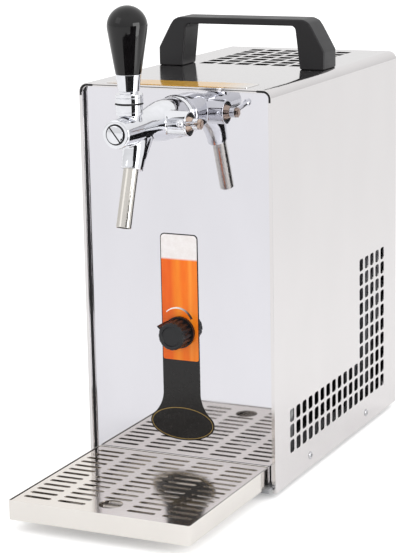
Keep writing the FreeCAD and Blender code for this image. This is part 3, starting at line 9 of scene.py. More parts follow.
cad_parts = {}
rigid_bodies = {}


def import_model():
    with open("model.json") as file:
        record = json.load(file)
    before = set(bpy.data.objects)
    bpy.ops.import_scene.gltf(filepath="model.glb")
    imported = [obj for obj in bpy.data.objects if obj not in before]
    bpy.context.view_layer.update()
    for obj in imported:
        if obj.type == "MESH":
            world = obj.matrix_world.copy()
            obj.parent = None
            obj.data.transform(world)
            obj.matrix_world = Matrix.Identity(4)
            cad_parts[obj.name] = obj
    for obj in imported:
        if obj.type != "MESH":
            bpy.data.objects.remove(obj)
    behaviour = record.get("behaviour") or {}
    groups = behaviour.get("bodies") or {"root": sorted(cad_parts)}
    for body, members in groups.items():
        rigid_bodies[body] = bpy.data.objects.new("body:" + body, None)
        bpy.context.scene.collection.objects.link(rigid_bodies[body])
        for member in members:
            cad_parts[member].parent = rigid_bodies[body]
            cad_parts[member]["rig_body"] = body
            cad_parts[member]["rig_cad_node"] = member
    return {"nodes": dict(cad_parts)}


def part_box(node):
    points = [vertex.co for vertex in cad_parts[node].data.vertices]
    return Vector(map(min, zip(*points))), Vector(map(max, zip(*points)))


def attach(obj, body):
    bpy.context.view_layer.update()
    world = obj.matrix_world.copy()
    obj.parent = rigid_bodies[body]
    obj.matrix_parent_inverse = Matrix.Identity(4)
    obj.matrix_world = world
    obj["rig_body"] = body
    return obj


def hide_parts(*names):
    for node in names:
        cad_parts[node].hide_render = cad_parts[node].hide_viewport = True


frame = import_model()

bl_info = {
    "name": "Countertop beer cooler",
    "version": (1, 0, 0),
    "blender": (4, 5, 0),
    "location": "3D View > Sidebar > Beer cooler",
    "description": "Dresses a packed countertop beer cooler: tap, handle, label, tray, casing and studio",
    "category": "Object",
}

MM = 0.001

# Millimetres from the casing's front rim and bottom edge, as the cabinet was drawn
CASING_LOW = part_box("casing_cover")[0]
CASING_HALF = 90.0
CASING_BACK = 302.0
CASING_TOP = 349.0
RIM_CURVE = 6.8
SEAL_WIDTH = 1.8
PANEL_FACE = 5.0
LABEL_FACE = 4.6
KNOB_LEVEL = 135.0
TAP_LEVEL = 323.0
TAP_FACE = -105.3
STACK = -80.0
BARREL_DEPTH = -32.0
SPOUT_ROOT = (0.0, -80.0, 291.0)
SPOUT_END = (0.0, -96.0, 245.6)

RIGHT, LEFT, BACK, FRONT, UP = (1, 0, 0), (-1, 0, 0), (0, 1, 0), (0, -1, 0), (0, 0, 1)

# Degrees between faces that are shaded as one: folded or moulded forms, turned forms, and soft castings
FORMED = 32.0
TURNED = 34.0
CAST = 40.0

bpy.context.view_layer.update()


def linear(hex_colour):
    """Turn an sRGB hex colour into the linear values that the shader takes."""
    channels = [int(hex_colour[i:i + 2], 16) / 255 for i in (1, 3, 5)]
    return tuple(c / 12.92 if c <= 0.04045 else ((c + 0.055) / 1.055) ** 2.4 for c in channels)


def at(x, y, z):
    """A place in the cabinet's own millimetres, as metres in the part's frame."""
    return Vector((x, y, z)) * MM + Vector((0, CASING_LOW.y, CASING_LOW.z))


def on_tap(depth, side=0):
    """A place at the height of the tap's barrel."""
    return at(side, depth, TAP_LEVEL)


# Sizes and colours that a user would change

def size_of(name, description, default, low, high):
    """A size in millimetres."""
    return FloatProperty(name=name, description=description + ", in mm", default=default, min=low, max=high)


def colour_of(name, description, hex_colour):
    """A colour, which starts from an sRGB hex value."""
    return FloatVectorProperty(name=name, description=description, subtype="COLOR", size=3,
                               default=linear(hex_colour), min=0, max=1)


class TapSizes(PropertyGroup):
    grip_ball: size_of("Grip ball", "Radius of the grip's round top", 16.45, 10, 25)
    grip_foot: size_of("Grip foot", "Radius of the grip's lower end", 10.5, 8, 16)
    casting_edge: size_of("Casting softness", "Voxel of the softened chrome casting", 0.55, 0.3, 1.5)
    segments: IntProperty(name="Segments", description="Sides of each turned form", default=72, min=24,
                          max=128)


class CabinetSizes(PropertyGroup):
    handle_edge: size_of("Handle edge", "Rounding of the carry handle's edges", 1.6, 0.4, 3)
    screw_head: size_of("Screw head", "Radius of the cover screws' heads", 3.6, 2, 5)
    slot_length: size_of("Drain slot length", "Length of a slot in the grate", 25.6, 10, 40)
    slot_width: size_of("Drain slot width", "Width of a slot in the grate", 4.6, 2, 8)


class FinishColours(PropertyGroup):
    steel: colour_of("Polished steel", "Tint of the casing's polished steel", "#D9D6D6")
    handle: colour_of("Handle plastic", "Colour of the carry handle", "#0D0C0F")
    grip: colour_of("Grip plastic", "Colour of the tap's grip", "#0A090A")
    knob: colour_of("Knob plastic", "Colour of the temperature knob", "#101114")
    amber: colour_of("Amber print", "Colour of the strip on the top's front edge", "#D8A541")


class StudioSettings(PropertyGroup):
    sky: FloatProperty(name="Surround", description="Strength of the white surround", default=1.0, min=0,
                       max=3)
    key: FloatProperty(name="Key light", description="Power of the large soft light, in watts",
                       default=7.0, min=0, max=400)
    lens: size_of("Lens", "Focal length of the camera", 126.18, 20, 300)


# Node materials

def add_node(owner, kind, settings=None, links=None):
    """Add one node, give it its settings, and link its inputs from (node, output) pairs."""
    tree = owner.node_tree
    node = tree.nodes.new(kind)
    for name, value in (settings or {}).items():
        if isinstance(name, str) and hasattr(node, name):
            setattr(node, name, value)
        else:
            node.inputs[name].default_value = value
    for name, (source, output) in (links or {}).items():
        tree.links.new(source.outputs[output], node.inputs[name])
    return node


def wire(owner, source, output, node, name):
    """Link one output to an input of a node that is there already."""
    owner.node_tree.links.new(source.outputs[output], node.inputs[name])


def new_material(name, colour, metallic, roughness, specular=0.5):
    """A material with its shader, and the object coordinates that its patterns read."""
    material = bpy.data.materials.new(name)
    material.use_nodes = True
    shader = material.node_tree.nodes["Principled BSDF"]
    values = {"Base Color": (*colour, 1), "Metallic": metallic, "Roughness": roughness,
              "Specular IOR Level": specular}
    for key, value in values.items():
        shader.inputs[key].default_value = value
    return material, shader, add_node(material, "ShaderNodeTexCoord")


def noise(material, coords, size, detail, stretch=(1, 1, 1)):
    """Noise whose grains are about size millimetres, drawn out along an axis by stretch."""
    mapping = add_node(material, "ShaderNodeMapping", {"Scale": tuple(1 / s for s in stretch)},
                       {"Vector": (coords, "Object")})
    return add_node(material, "ShaderNodeTexNoise", {"Scale": 1000 / size, "Detail": detail},
                    {"Vector": (mapping, "Vector")})


def rough(material, shader, source, low, high):
    """Roughness that runs from low to high as a noise goes from dark to bright."""
    value = add_node(material, "ShaderNodeMapRange",
                     {"From Min": 0.3, "From Max": 0.7, "To Min": low, "To Max": high},
                     {"Value": (source, "Fac")})
    wire(material, value, "Result", shader, "Roughness")


def along_axis(material, coords, axis, low, high):
    """A value that grows from 0 to 1 between two places on an axis, in metres."""
    parts = add_node(material, "ShaderNodeSeparateXYZ", None, {"Vector": (coords, "Object")})
    return add_node(material, "ShaderNodeMapRange", {"From Min": low, "From Max": high},
                    {"Value": (parts, axis)})


def tint(material, source, dark, light, output="Fac"):
    """A colour that runs from dark to light with a pattern."""
    ramp = add_node(material, "ShaderNodeValToRGB", None, {"Fac": (source, output)})
    for element, position, colour in zip(ramp.color_ramp.elements, (0.3, 0.7), (dark, light)):
        element.position = position
        element.color = (*colour, 1)
    return ramp


def paint(material, shader, source, dark, light, output="Fac"):
    """Colour a material from dark to light with a pattern."""
    wire(material, tint(material, source, dark, light, output), "Color", shader, "Base Color")


def dent(material, shader, source, depth):
    """Bump of a depth in millimetres from a noise."""
    bump = add_node(material, "ShaderNodeBump", {"Strength": 1.0, "Distance": depth * MM},
                    {"Height": (source, "Fac")})
    wire(material, bump, "Normal", shader, "Normal")


def shaded(colour, amount):
    """The same colour, lighter or darker by a share."""
    return tuple(max(0.0, min(1.0, c * amount)) for c in colour)


def polished_steel(name, colour, roughness, wave, haze):
    """Bright-rolled stainless sheet: a near mirror, with the slow waves of thin sheet and a wiping haze."""
    material, shader, coords = new_material(name, colour, 1.0, roughness)
    waves = noise(material, coords, 90, 1.0)
    wiping = noise(material, coords, 40, 4.0, (1, 1, 2.5))
    rough(material, shader, wiping, roughness - haze, roughness + haze)
    paint(material, shader, wiping, shaded(colour, 0.97), colour)
    dent(material, shader, waves, wave)
    return material


def ground_steel(name, colour, roughness, along, depth=0.004):
    """Ground or drawn metal: fine lines about half a millimetre wide, coarser than real so that they show."""
    material, shader, coords = new_material(name, colour, 1.0, roughness)
    lines = noise(material, coords, 0.5, 2.0, along)
    rough(material, shader, lines, roughness - 0.06, roughness + 0.08)
    paint(material, shader, lines, shaded(colour, 0.9), colour)
    dent(material, shader, lines, depth)
    return material


def plated(name, colour, roughness=0.03):
    """Chromed casting: a cool mirror over metal that was polished by hand, so it waves a little."""
    material, shader, coords = new_material(name, colour, 1.0, roughness)
    swirl = noise(material, coords, 7, 2.0)
    rough(material, shader, swirl, roughness * 0.6, roughness * 1.8)
    paint(material, shader, swirl, shaded(colour, 0.94), colour)
    dent(material, shader, swirl, 0.012)
    return material


def moulded(name, colour, roughness, grain=0.6, depth=0.02, lift=1.25):
    """Moulded plastic: a fine spark-eroded grain and slightly uneven gloss."""
    material, shader, coords = new_material(name, colour, 0.0, roughness, 0.42)
    grains = noise(material, coords, grain, 2.0)
    cloud = noise(material, coords, 25, 2.0)
    rough(material, shader, cloud, roughness - 0.04, roughness + 0.05)
    paint(material, shader, grains, colour, shaded(colour, lift))
    dent(material, shader, grains, depth)
    return material


def coated(name, colour, roughness, orange_peel=1.6, depth=0.02):
    """Sprayed or dipped paint, or another dull skin, with its slight orange peel."""
    material, shader, coords = new_material(name, colour, 0.0, roughness, 0.4)
    peel = noise(material, coords, orange_peel, 1.0)
    paint(material, shader, peel, shaded(colour, 0.85), shaded(colour, 1.15))
    rough(material, shader, peel, roughness - 0.05, roughness + 0.06)
    dent(material, shader, peel, depth)
    return material


def beer_print(name, colour):
    """Glossy printed film with a full glass: pale foam above amber beer with upright streaks of light."""
    material, shader, coords = new_material(name, colour, 0.0, 0.22, 0.3)
    width = along_axis(material, coords, "X", -17 * MM, 17 * MM)
    streaks = add_node(material, "ShaderNodeValToRGB", None, {"Fac": (width, "Result")})
    stops = [(0.0, "#DE5F14"), (0.24, "#E26010"), (0.36, "#E87715"), (0.46, "#EB821B"), (0.60, "#EA6E0E"),
             (0.72, "#E86E10"), (0.80, "#F09030"), (0.88, "#EA7C1B"), (1.0, "#EA7A1E")]
    ramp = streaks.color_ramp
    ramp.elements[0].color = (*linear(stops[0][1]), 1)
    ramp.elements[1].color = (*linear(stops[-1][1]), 1)
    for position, streak in stops[1:-1]:
        ramp.elements.new(position).color = (*linear(streak), 1)
    bubbles = noise(material, coords, 5, 4.0, (1, 1, 5))
    beer = add_node(material, "ShaderNodeMix", {"data_type": "RGBA", "blend_type": "SOFT_LIGHT", 0: 0.35},
                    {6: (streaks, "Color"), 7: (bubbles, "Fac")})
    height = along_axis(material, coords, "Z", at(0, 0, 198.4).z, at(0, 0, 200.2).z)
    foam = tint(material, noise(material, coords, 3, 3.0), linear("#DFD9D7"), linear("#E6E2E1"))
    picture = add_node(material, "ShaderNodeMix", {"data_type": "RGBA"},
                       {0: (height, "Result"), 6: (beer, 2), 7: (foam, "Color")})
    wire(material, picture, 2, shader, "Base Color")
    return material


def amber_strip(name, colour):
    """Amber print on clear film over the steel, which fades out towards both ends."""
    material, shader, coords = new_material(name, colour, 0.0, 0.06, 0.36)
    parts = add_node(material, "ShaderNodeSeparateXYZ", None, {"Vector": (coords, "Object")})
    away = add_node(material, "ShaderNodeMath", {"operation": "ABSOLUTE"}, {0: (parts, "X")})
    fade = add_node(material, "ShaderNodeMapRange", {"From Min": 34 * MM, "From Max": 66 * MM},
                    {"Value": (away, "Value")})
    grain = noise(material, coords, 6, 2.0)
    printed = tint(material, grain, shaded(colour, 0.92), shaded(colour, 1.05))
    mixed = add_node(material, "ShaderNodeMix", {"data_type": "RGBA", 7: (*linear("#DEDCDA"), 1)},
                     {0: (fade, "Result"), 6: (printed, "Color")})
    wire(material, mixed, 2, shader, "Base Color")
    wire(material, fade, "Result", shader, "Metallic")
    return material


def scale_print(name, colour):
    """White ink that darkens along the arc, from the cold end to the warm end."""
    material, shader, coords = new_material(name, colour, 0.0, 0.35)
    across = along_axis(material, coords, "X", -12 * MM, 17 * MM)
    paint(material, shader, across, linear("#EDEBE6"), linear("#3A2A22"), "Result")
    return material


def clear_hose(name, colour):
    """Clear polyethylene beer tube: milky, with a soft gloss."""
    material, shader, coords = new_material(name, colour, 0.0, 0.28)
    shader.inputs["Transmission Weight"].default_value = 0.35
    paint(material, shader, noise(material, coords, 12, 2.0), shaded(colour, 0.93), colour)
    return material


FINISHES = {}


def make_finishes(colours):
    """One material for each finish on the machine, kept by the record's slot names."""
    table = {
        # The casing is a hazy mirror and the panel a clear one; tray and grate are tinted warm as a painted
        # reflection of the warmer things they mirror
        "casing_steel": (polished_steel, "Stainless sheet, bright rolled", colours.steel, 0.11, 0.05, 0.03),
        "mirror_steel": (polished_steel, "Stainless sheet, mirror polished", "#D9D8DD", 0.035, 0.03, 0.015),
        "tray_steel": (polished_steel, "Stainless sheet, pressed", "#E0DCD7", 0.10, 0.03, 0.03),
        "grate_steel": (polished_steel, "Stainless sheet, punched", "#ECE5DE", 0.12, 0.02, 0.03),
        # Zinc dulls the sheet inside to a flat, blotched grey
        "base_steel": (coated, "Zinc-plated steel sheet", "#8C8D90", 0.42, 8.0, 0.01),
        # Turned and drawn pieces carry their lines round or along them
        "bright_steel": (ground_steel, "Turned steel", "#C9C9CC", 0.25, (6, 6, 1)),
        "spout_steel": (ground_steel, "Stainless tube, drawn and polished", "#CFCBC5", 0.12,
                        (1, 1, 30), 0.002),
        "tap_chrome": (plated, "Chrome on polished brass", "#E4E5E9"),
        # The nickel is thin, so the brass warms it
        "brass": (ground_steel, "Turned nickel brass", "#BCA799", 0.14, (8, 8, 8), 0.002),
        "copper": (ground_steel, "Copper tube", "#C97B56", 0.3, (4, 4, 4), 0.003),
        "aluminium": (ground_steel, "Aluminium, as milled", "#BFC2C6", 0.38, (5, 1, 1)),
        "black_paint": (coated, "Black stoved paint", "#101012", 0.38),
        # The handle is matt, the grip polished like glass, the knob in between
        "black_plastic": (moulded, "Black moulded nylon", colours.handle, 0.42),
        "black_gloss": (moulded, "Black phenolic, polished", colours.grip, 0.07, 6.0, 0.004, 1.6),
        "knob_plastic": (moulded, "Black moulded knob plastic", colours.knob, 0.36, 0.5, 0.01),
        "grey_plastic": (moulded, "Grey moulded plastic", "#8A8D92", 0.45),
        "white_plastic": (moulded, "White moulded plastic", "#DFDED9", 0.4, 0.6, 0.02, 1.02),
        "clear_tube": (clear_hose, "Clear polyethylene hose", "#DDE0E0"),
        # Rubber has no gloss and a dusty, uneven skin
        "black_rubber": (coated, "Black rubber", "#0E0D0E", 0.62, 0.8, 0.03),
        "amber_film": (amber_strip, "Amber print on film", colours.amber),
        "label_film": (coated, "Black print under clear film", "#0E0C0C", 0.22, 3.0, 0.004),
        "beer_picture": (beer_print, "Printed picture of a full glass", "#F0821E"),
        # Metallic ink is dull gold, with the grain of its flakes
        "gold_ink": (ground_steel, "Gold ink", "#A58C56", 0.42, (1, 1, 1), 0.002),
        "scale_ink": (scale_print, "White to dark scale ink", "#E8E6E2"),
    }
    for slot, (make, name, colour, *settings) in table.items():
        colour = linear(colour) if isinstance(colour, str) else tuple(colour)
        FINISHES[slot] = make(name, colour, *settings)


# Modelling helpers

def deselect_all():
    if bpy.context.object is not None and bpy.context.object.mode != "OBJECT":
        bpy.ops.object.mode_set(mode="OBJECT")
    bpy.ops.object.select_all(action="DESELECT")


def only(piece):
    """Select one piece and make it active."""
    deselect_all()
    piece.select_set(True)
    bpy.context.view_layer.objects.active = piece


def put(piece, turn, origin):
    """Turn a piece, set it in place and apply both, so that its place is in its mesh."""
    only(piece)
    piece.matrix_world = Matrix.Translation(origin) @ turn
    bpy.ops.object.transform_apply()


def turn_to(direction):
    """The turn that brings the z axis to a direction."""
    return Vector(direction).to_track_quat("Z", "Y").to_matrix().to_4x4()


def begin_edit():
    """Enter edit mode with everything selected."""
    bpy.ops.object.mode_set(mode="EDIT")
    bpy.ops.mesh.select_all(action="SELECT")


def end_edit():
    """Turn all faces outwards and leave edit mode."""
    bpy.ops.mesh.select_all(action="SELECT")
    bpy.ops.mesh.normals_make_consistent(inside=False)
    bpy.ops.object.mode_set(mode="OBJECT")


def extrude(x, y, z):
    """Pull the selected faces out by a distance in metres."""
    bpy.ops.mesh.extrude_region_move(TRANSFORM_OT_translate={"value": (x, y, z)})


def apply_modifier(piece, kind, **settings):
    """Add a modifier with its settings and apply it."""
    only(piece)
    modifier = piece.modifiers.new(kind.lower(), kind)
    for name, value in settings.items():
        setattr(modifier, name, value)
    bpy.ops.object.modifier_apply(modifier=modifier.name)


def smooth(piece, angle):
    only(piece)
    bpy.ops.object.shade_smooth_by_angle(angle=math.radians(angle))


def soften(piece, width, segments=2, angle=34.0):
    """Round the sharp edges of a piece by a width in millimetres."""
    apply_modifier(piece, "BEVEL", width=width * MM, segments=segments, limit_method="ANGLE",
                   angle_limit=math.radians(angle), use_clamp_overlap=True)


def settle(piece, angle=FORMED):
    """Shade a piece so that its large faces stay flat and its edges catch the light."""
    smooth(piece, angle)
    apply_modifier(piece, "WEIGHTED_NORMAL", keep_sharp=True, weight=90)


def turned(name, profile, origin, axis, segments):
    """Lathe form: a filled circle, extruded and scaled through a profile of radius and distance."""
    deselect_all()
    radius, level = profile[0]
    bpy.ops.mesh.primitive_circle_add(vertices=segments, radius=radius * MM, fill_type="NGON")
    piece = bpy.context.object
    piece.name = name
    begin_edit()
    bpy.ops.transform.translate(value=(0, 0, level * MM))
    for next_radius, next_level in profile[1:]:
        extrude(0, 0, (next_level - level) * MM)
        share = next_radius / radius
        bpy.ops.transform.resize(value=(share, share, 1), center_override=(0, 0, next_level * MM))
        radius, level = next_radius, next_level
    end_edit()
    put(piece, turn_to(axis), origin)
    return piece


def plate(name, points, thickness, plane, level):
    """Flat form: an outline drawn point by point, filled, and extruded by a thickness."""
    deselect_all()
    bpy.ops.mesh.primitive_plane_add(size=MM)
    piece = bpy.context.object
    piece.name = name
    begin_edit()
    bpy.ops.mesh.merge(type="CENTER")
    places = [at(a, level, b) if plane == "XZ" else at(a, b, level) for a, b in points]
    bpy.ops.transform.translate(value=places[0])
    for before, here in zip(places, places[1:]):
        bpy.ops.mesh.extrude_vertices_move(TRANSFORM_OT_translate={"value": here - before})
    bpy.ops.mesh.select_all(action="SELECT")
    bpy.ops.mesh.edge_face_add()
    if plane == "XZ":
        extrude(0, thickness * MM, 0)
    else:
        extrude(0, 0, thickness * MM)
    end_edit()
    return piece


def block(size, turn, origin):
    """A box of a size in millimetres, turned and set in place."""
    deselect_all()
    bpy.ops.mesh.primitive_cube_add(size=MM)
    piece = bpy.context.object
    piece.scale = size
    bpy.ops.object.transform_apply()
    put(piece, turn, origin)
    return piece


def combine(piece, tool, operation):
    """Join a tool to a piece, or cut it away."""
    apply_modifier(piece, "BOOLEAN", operation=operation, solver="EXACT", object=tool)
    bpy.data.objects.remove(tool)


def twin(piece, name, shift):
    """A copy of a piece with its own mesh, moved by a shift in millimetres."""
    only(piece)
    bpy.ops.object.duplicate()
    copy = bpy.context.object
    copy.name = name
    bpy.ops.transform.translate(value=Vector(shift) * MM)
    bpy.ops.object.transform_apply()
    return copy


def joined(name, pieces):
    """Several pieces as one."""
    deselect_all()
    for piece in pieces:
        piece.select_set(True)
    bpy.context.view_layer.objects.active = pieces[0]
    bpy.ops.object.join()
    result = bpy.context.object
    result.name = name
    return result


def dressed(node, edge, angle):
    """A merged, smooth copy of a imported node, with its edges broken as a deburred part's are."""
    only(frame["nodes"][node])
    bpy.ops.object.duplicate()
    piece = bpy.context.object
    piece.name = node + "_skin"
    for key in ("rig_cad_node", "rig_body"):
        if key in piece:
            del piece[key]
    piece.parent = None
    begin_edit()
    bpy.ops.mesh.remove_doubles(threshold=0.002 * MM)
    bpy.ops.mesh.dissolve_limited(angle_limit=math.radians(0.4), delimit={"NORMAL"})
    bpy.ops.object.mode_set(mode="OBJECT")
    if edge:
        soften(piece, edge)
    settle(piece, angle)
    return piece


def home(node):
    """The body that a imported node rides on."""
    return frame["nodes"][node]["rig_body"]


def fit(piece, body, finish, replaced=(), second=None):
    """Give a piece its material, let it ride on its body, and hide the nodes that it stands for."""
    piece.data.materials.clear()
    piece.data.materials.append(FINISHES[finish])
    if second:
        piece.data.materials.append(FINISHES[second])
    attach(piece, body)
    if replaced:
        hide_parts(*replaced)
    return piece


def skin(node, finish, edge=0.0, angle=FORMED):
    """Replace a node by its own dressed copy."""
    return fit(dressed(node, edge, angle), home(node), finish, (node,))


def lathe_part(name, profile, origin, axis, segments, finish, node):
    """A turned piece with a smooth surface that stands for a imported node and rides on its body."""
    piece = turned(name, profile, origin, axis, segments)
    smooth(piece, TURNED)
    return fit(piece, home(node), finish, (node,))


def keep(node, finish):
    """Leave a node as it is and give it its material."""
    mesh = frame["nodes"][node].data
    mesh.materials.clear()
    mesh.materials.append(FINISHES[finish])


def corner_arc(centre, radius, start, end, steps=6):
    """Points along an arc, from one angle in degrees to another."""
    angles = [math.radians(start + (end - start) * k / steps) for k in range(steps + 1)]
    return [(centre[0] + radius * math.cos(angle), centre[1] + radius * math.sin(angle)) for angle in angles]


def rounded_slot(length, width):
    """Outline of a slot with round ends, about its own middle."""
    reach = (length - width) / 2
    return corner_arc((reach, 0), width / 2, -90, 90, 8) + corner_arc((-reach, 0), width / 2, 90, 270, 8)


# The cabinet

class COOLER_OT_casing(Operator):
    """Dress the folded casing, the mirror panel, the base and the back"""
    bl_idname = "cooler.casing"
    bl_label = "Casing and panels"

    def execute(self, context):
        skin("casing_cover", "casing_steel", 0.35)
        skin("front_panel", "mirror_steel")
        skin("base_plate", "base_steel")
        skin("back_panel", "casing_steel")
        low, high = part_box("panel_seal")
        half, top, foot = high.x / MM, (high.z - CASING_LOW.z) / MM, (low.z - CASING_LOW.z) / MM
        hem_front, seal_front, lap = 1.0, 2.6, 0.4
        hem = self.band("rim_hem", half, top, foot, (hem_front, seal_front))
        soften(hem, 0.5, 3, 50.0)
        settle(hem, CAST)
        fit(hem, "cabinet", "casing_steel")
        seal = self.band("panel_seal_strip", half, top, foot, (seal_front, PANEL_FACE))
        fit(seal, "cabinet", "black_rubber", ("panel_seal",))
        # Each corner runs on along the top as a thin black line: painted shade under the top's front edge
        for name, side in (("seal_corner_shade_line_right", 1), ("seal_corner_shade_line_left", -1)):
            fit(self.corner(name, side, half + lap, top + lap), "cabinet", "black_rubber")
        return {"FINISHED"}

    def band(self, name, half, top, foot, depths):
        """Strip that follows the inside of the casing's front rim, between two depths."""
        outline = []
        for inset, order in ((0.0, 1), (SEAL_WIDTH, -1)):
            side, head, curve = half - inset, top - inset, RIM_CURVE - inset
            path = [(side, foot), *corner_arc((side - curve, head - curve), curve, 0, 90),
                    *corner_arc((-side + curve, head - curve), curve, 90, 180), (-side, foot)]
            outline += path[::order]
        return plate(name, outline, depths[1] - depths[0], "XZ", depths[0])

    def corner(self, name, side, half, top):
        """The seal's thick corner, which laps over the casing's rim and thins out along the top into a thin
        black line, painted shade under the top's front edge.
        """
        leg, arm, taper, middle, thickness = 10.0, 12.0, 13.0, 0.1, 0.12
        outline = []
        for inset, tail, order in ((0.0, 0.4, 1), (SEAL_WIDTH, 1.0, -1)):
            reach, head, curve = half - inset, top - inset, RIM_CURVE - inset
            path = [(reach, top - leg), *corner_arc((reach - curve, head - curve), curve, 0, 90),
                    (half - arm, head), (half - taper, top - tail), (middle, top - tail)]
            outline += [(side * x, z) for x, z in path[::order]]
        return plate(name, outline, thickness, "XZ", -thickness)


class COOLER_OT_feet(Operator):
    """Dress the four rubber feet and round their edges"""
    bl_idname = "cooler.feet"
    bl_label = "Rubber feet"

    def execute(self, context):
        skin("rubber_feet", "black_rubber", 0.5)
        return {"FINISHED"}


class COOLER_OT_screws(Operator):
    """Model one cross-head cover screw and copy it to the sides and the back"""
    bl_idname = "cooler.screws"
    bl_label = "Cover screws"

    def execute(self, context):
        radius = context.scene.cabinet_sizes.screw_head
        level, along = 11.2, (79.8, 221.5)
        right = [(CASING_HALF, y, level) for y in along]
        left = [(-CASING_HALF, y, level) for y in along]
        rear = [(side * 76.8, CASING_BACK, z) for side in (-1, 1) for z in (17.9, 335.8)]
        for name, node, axis, places in (("side_screws_right", "side_screws", RIGHT, right),
                                         ("side_screws_left", "side_screws", LEFT, left),
                                         ("rear_screws", "back_screws", BACK, rear)):
            screws = joined(name, [self.head(place, axis, radius) for place in places])
            smooth(screws, FORMED)
            fit(screws, "cabinet", "bright_steel", (node,))
        return {"FINISHED"}

    def head(self, place, axis, radius):
        """A domed head on its shank, with a crossed recess."""
        shank, recess, height = 1.7, (radius * 1.1, 0.75, 1.4), 1.15
        profile = [(shank, -6.0), (shank, 0.0), (radius, 0.02), (radius, 0.3), (radius * 0.94, 0.62),
                   (radius * 0.75, 0.95), (radius * 0.4, 1.16), (0.3, 1.2)]
        head = turned("screw_head", profile, at(*place), axis, 24)
        for spin in (20, 110):
            turn = turn_to(axis) @ Matrix.Rotation(math.radians(spin), 4, "Z")
            combine(head, block(recess, turn, at(*place) + Vector(axis) * height * MM), "DIFFERENCE")
        return head


class COOLER_OT_handle(Operator):
    """Draw the moulded carry handle's arched outline, extrude it and round its edges"""
    bl_idname = "cooler.handle"
    bl_label = "Carry handle"

    def execute(self, context):
        base, top, front, depth = CASING_TOP, CASING_TOP + 44.5, 138.5, 29.5
        right = [(58.0, base), (81.4, base), (81.4, base + 16.5), (69.6, base + 37.5), (66.4, base + 42.0),
                 (61.0, top)]
        inside = corner_arc((49.5, base + 34.0), 4.5, 0, 90)
        outline = right + [(-x, z) for x, z in right[::-1]] + [(-x, z) for x, z in inside] + inside[::-1]
        handle = plate("carry_handle_body", outline, depth, "XZ", front)
        soften(handle, context.scene.cabinet_sizes.handle_edge, 3, 20.0)
        settle(handle, CAST)
        fit(handle, "cabinet", "black_plastic", ("carry_handle",))
        return {"FINISHED"}


class COOLER_OT_label(Operator):
    """Lay the printed label, its picture, its gold ring, the knob's scale and the amber strip"""
    bl_idname = "cooler.label"
    bl_label = "Label and strip"

    def execute(self, context):
        keep("front_label", "label_film")
        keep("top_accent_strip", "amber_film")
        half, foot, head, foot_curve, head_curve = 17.0, 109.6, 220.7, 2.0, 3.4
        left, right = foot_curve - half, half - foot_curve
        outline = [*corner_arc((left, foot + foot_curve), foot_curve, 180, 270),
                   *corner_arc((right, foot + foot_curve), foot_curve, 270, 360),
                   *corner_arc((half - head_curve, head - head_curve), head_curve, 0, 90),
                   *corner_arc((head_curve - half, head - head_curve), head_curve, 90, 180)]
        film = 0.05
        picture = plate("label_picture", outline, film, "XZ", LABEL_FACE - film)
        hole = turned("hole", [(8.0, -2), (8.0, 2)], at(0, LABEL_FACE, KNOB_LEVEL), BACK, 48)
        combine(picture, hole, "DIFFERENCE")
        fit(picture, "cabinet", "beer_picture", ())
        self.ring((0, 52.4), (29.5, 14.3), 0.6, film)
        self.scale()
        return {"FINISHED"}

    def ring(self, centre, radii, width, film):
        """Thin oval line of gold ink."""
        deselect_all()
        bpy.ops.mesh.primitive_circle_add(vertices=96, radius=1, fill_type="NGON")
        ring = bpy.context.object
        ring.name = "label_ring"
        ring.scale = (radii[0] * MM, radii[1] * MM, 1)
        bpy.ops.object.transform_apply()
        begin_edit()
        bpy.ops.mesh.inset(thickness=width * MM)
        bpy.ops.mesh.delete(type="FACE")
        bpy.ops.mesh.select_all(action="SELECT")
        extrude(0, 0, film * MM)
        end_edit()
        put(ring, Matrix.Rotation(math.radians(90), 4, "X"), at(centre[0], LABEL_FACE, centre[1]))
        fit(ring, "cabinet", "gold_ink", ())

    def scale(self):
        """Arc over the knob, narrower at its cold end."""
        steps, centre, radius, first, last = 26, (-2.3, KNOB_LEVEL + 6.2), 15.6, 24, 136
        outline = corner_arc(centre, radius, last, first, steps)
        for step in range(steps + 1):
            angle = math.radians(first + (last - first) * step / steps)
            here = radius - 2.3 + 1.5 * step / steps
            outline.append((centre[0] + here * math.cos(angle), centre[1] + here * math.sin(angle)))
        arc = plate("knob_scale", outline, 0.04, "XZ", LABEL_FACE - 0.09)
        fit(arc, "cabinet", "scale_ink", ())


class COOLER_OT_knob(Operator):
    """Dress the fluted temperature knob and its spindle"""
    bl_idname = "cooler.knob"
    bl_label = "Temperature knob"

    def execute(self, context):
        skin("thermostat_knob", "knob_plastic", 0.25, 30.0)
        skin("thermostat_spindle", "bright_steel")
        skin("thermostat_nut", "bright_steel")
        skin("thermostat_body", "white_plastic", 0.3)
        return {"FINISHED"}


# The tap

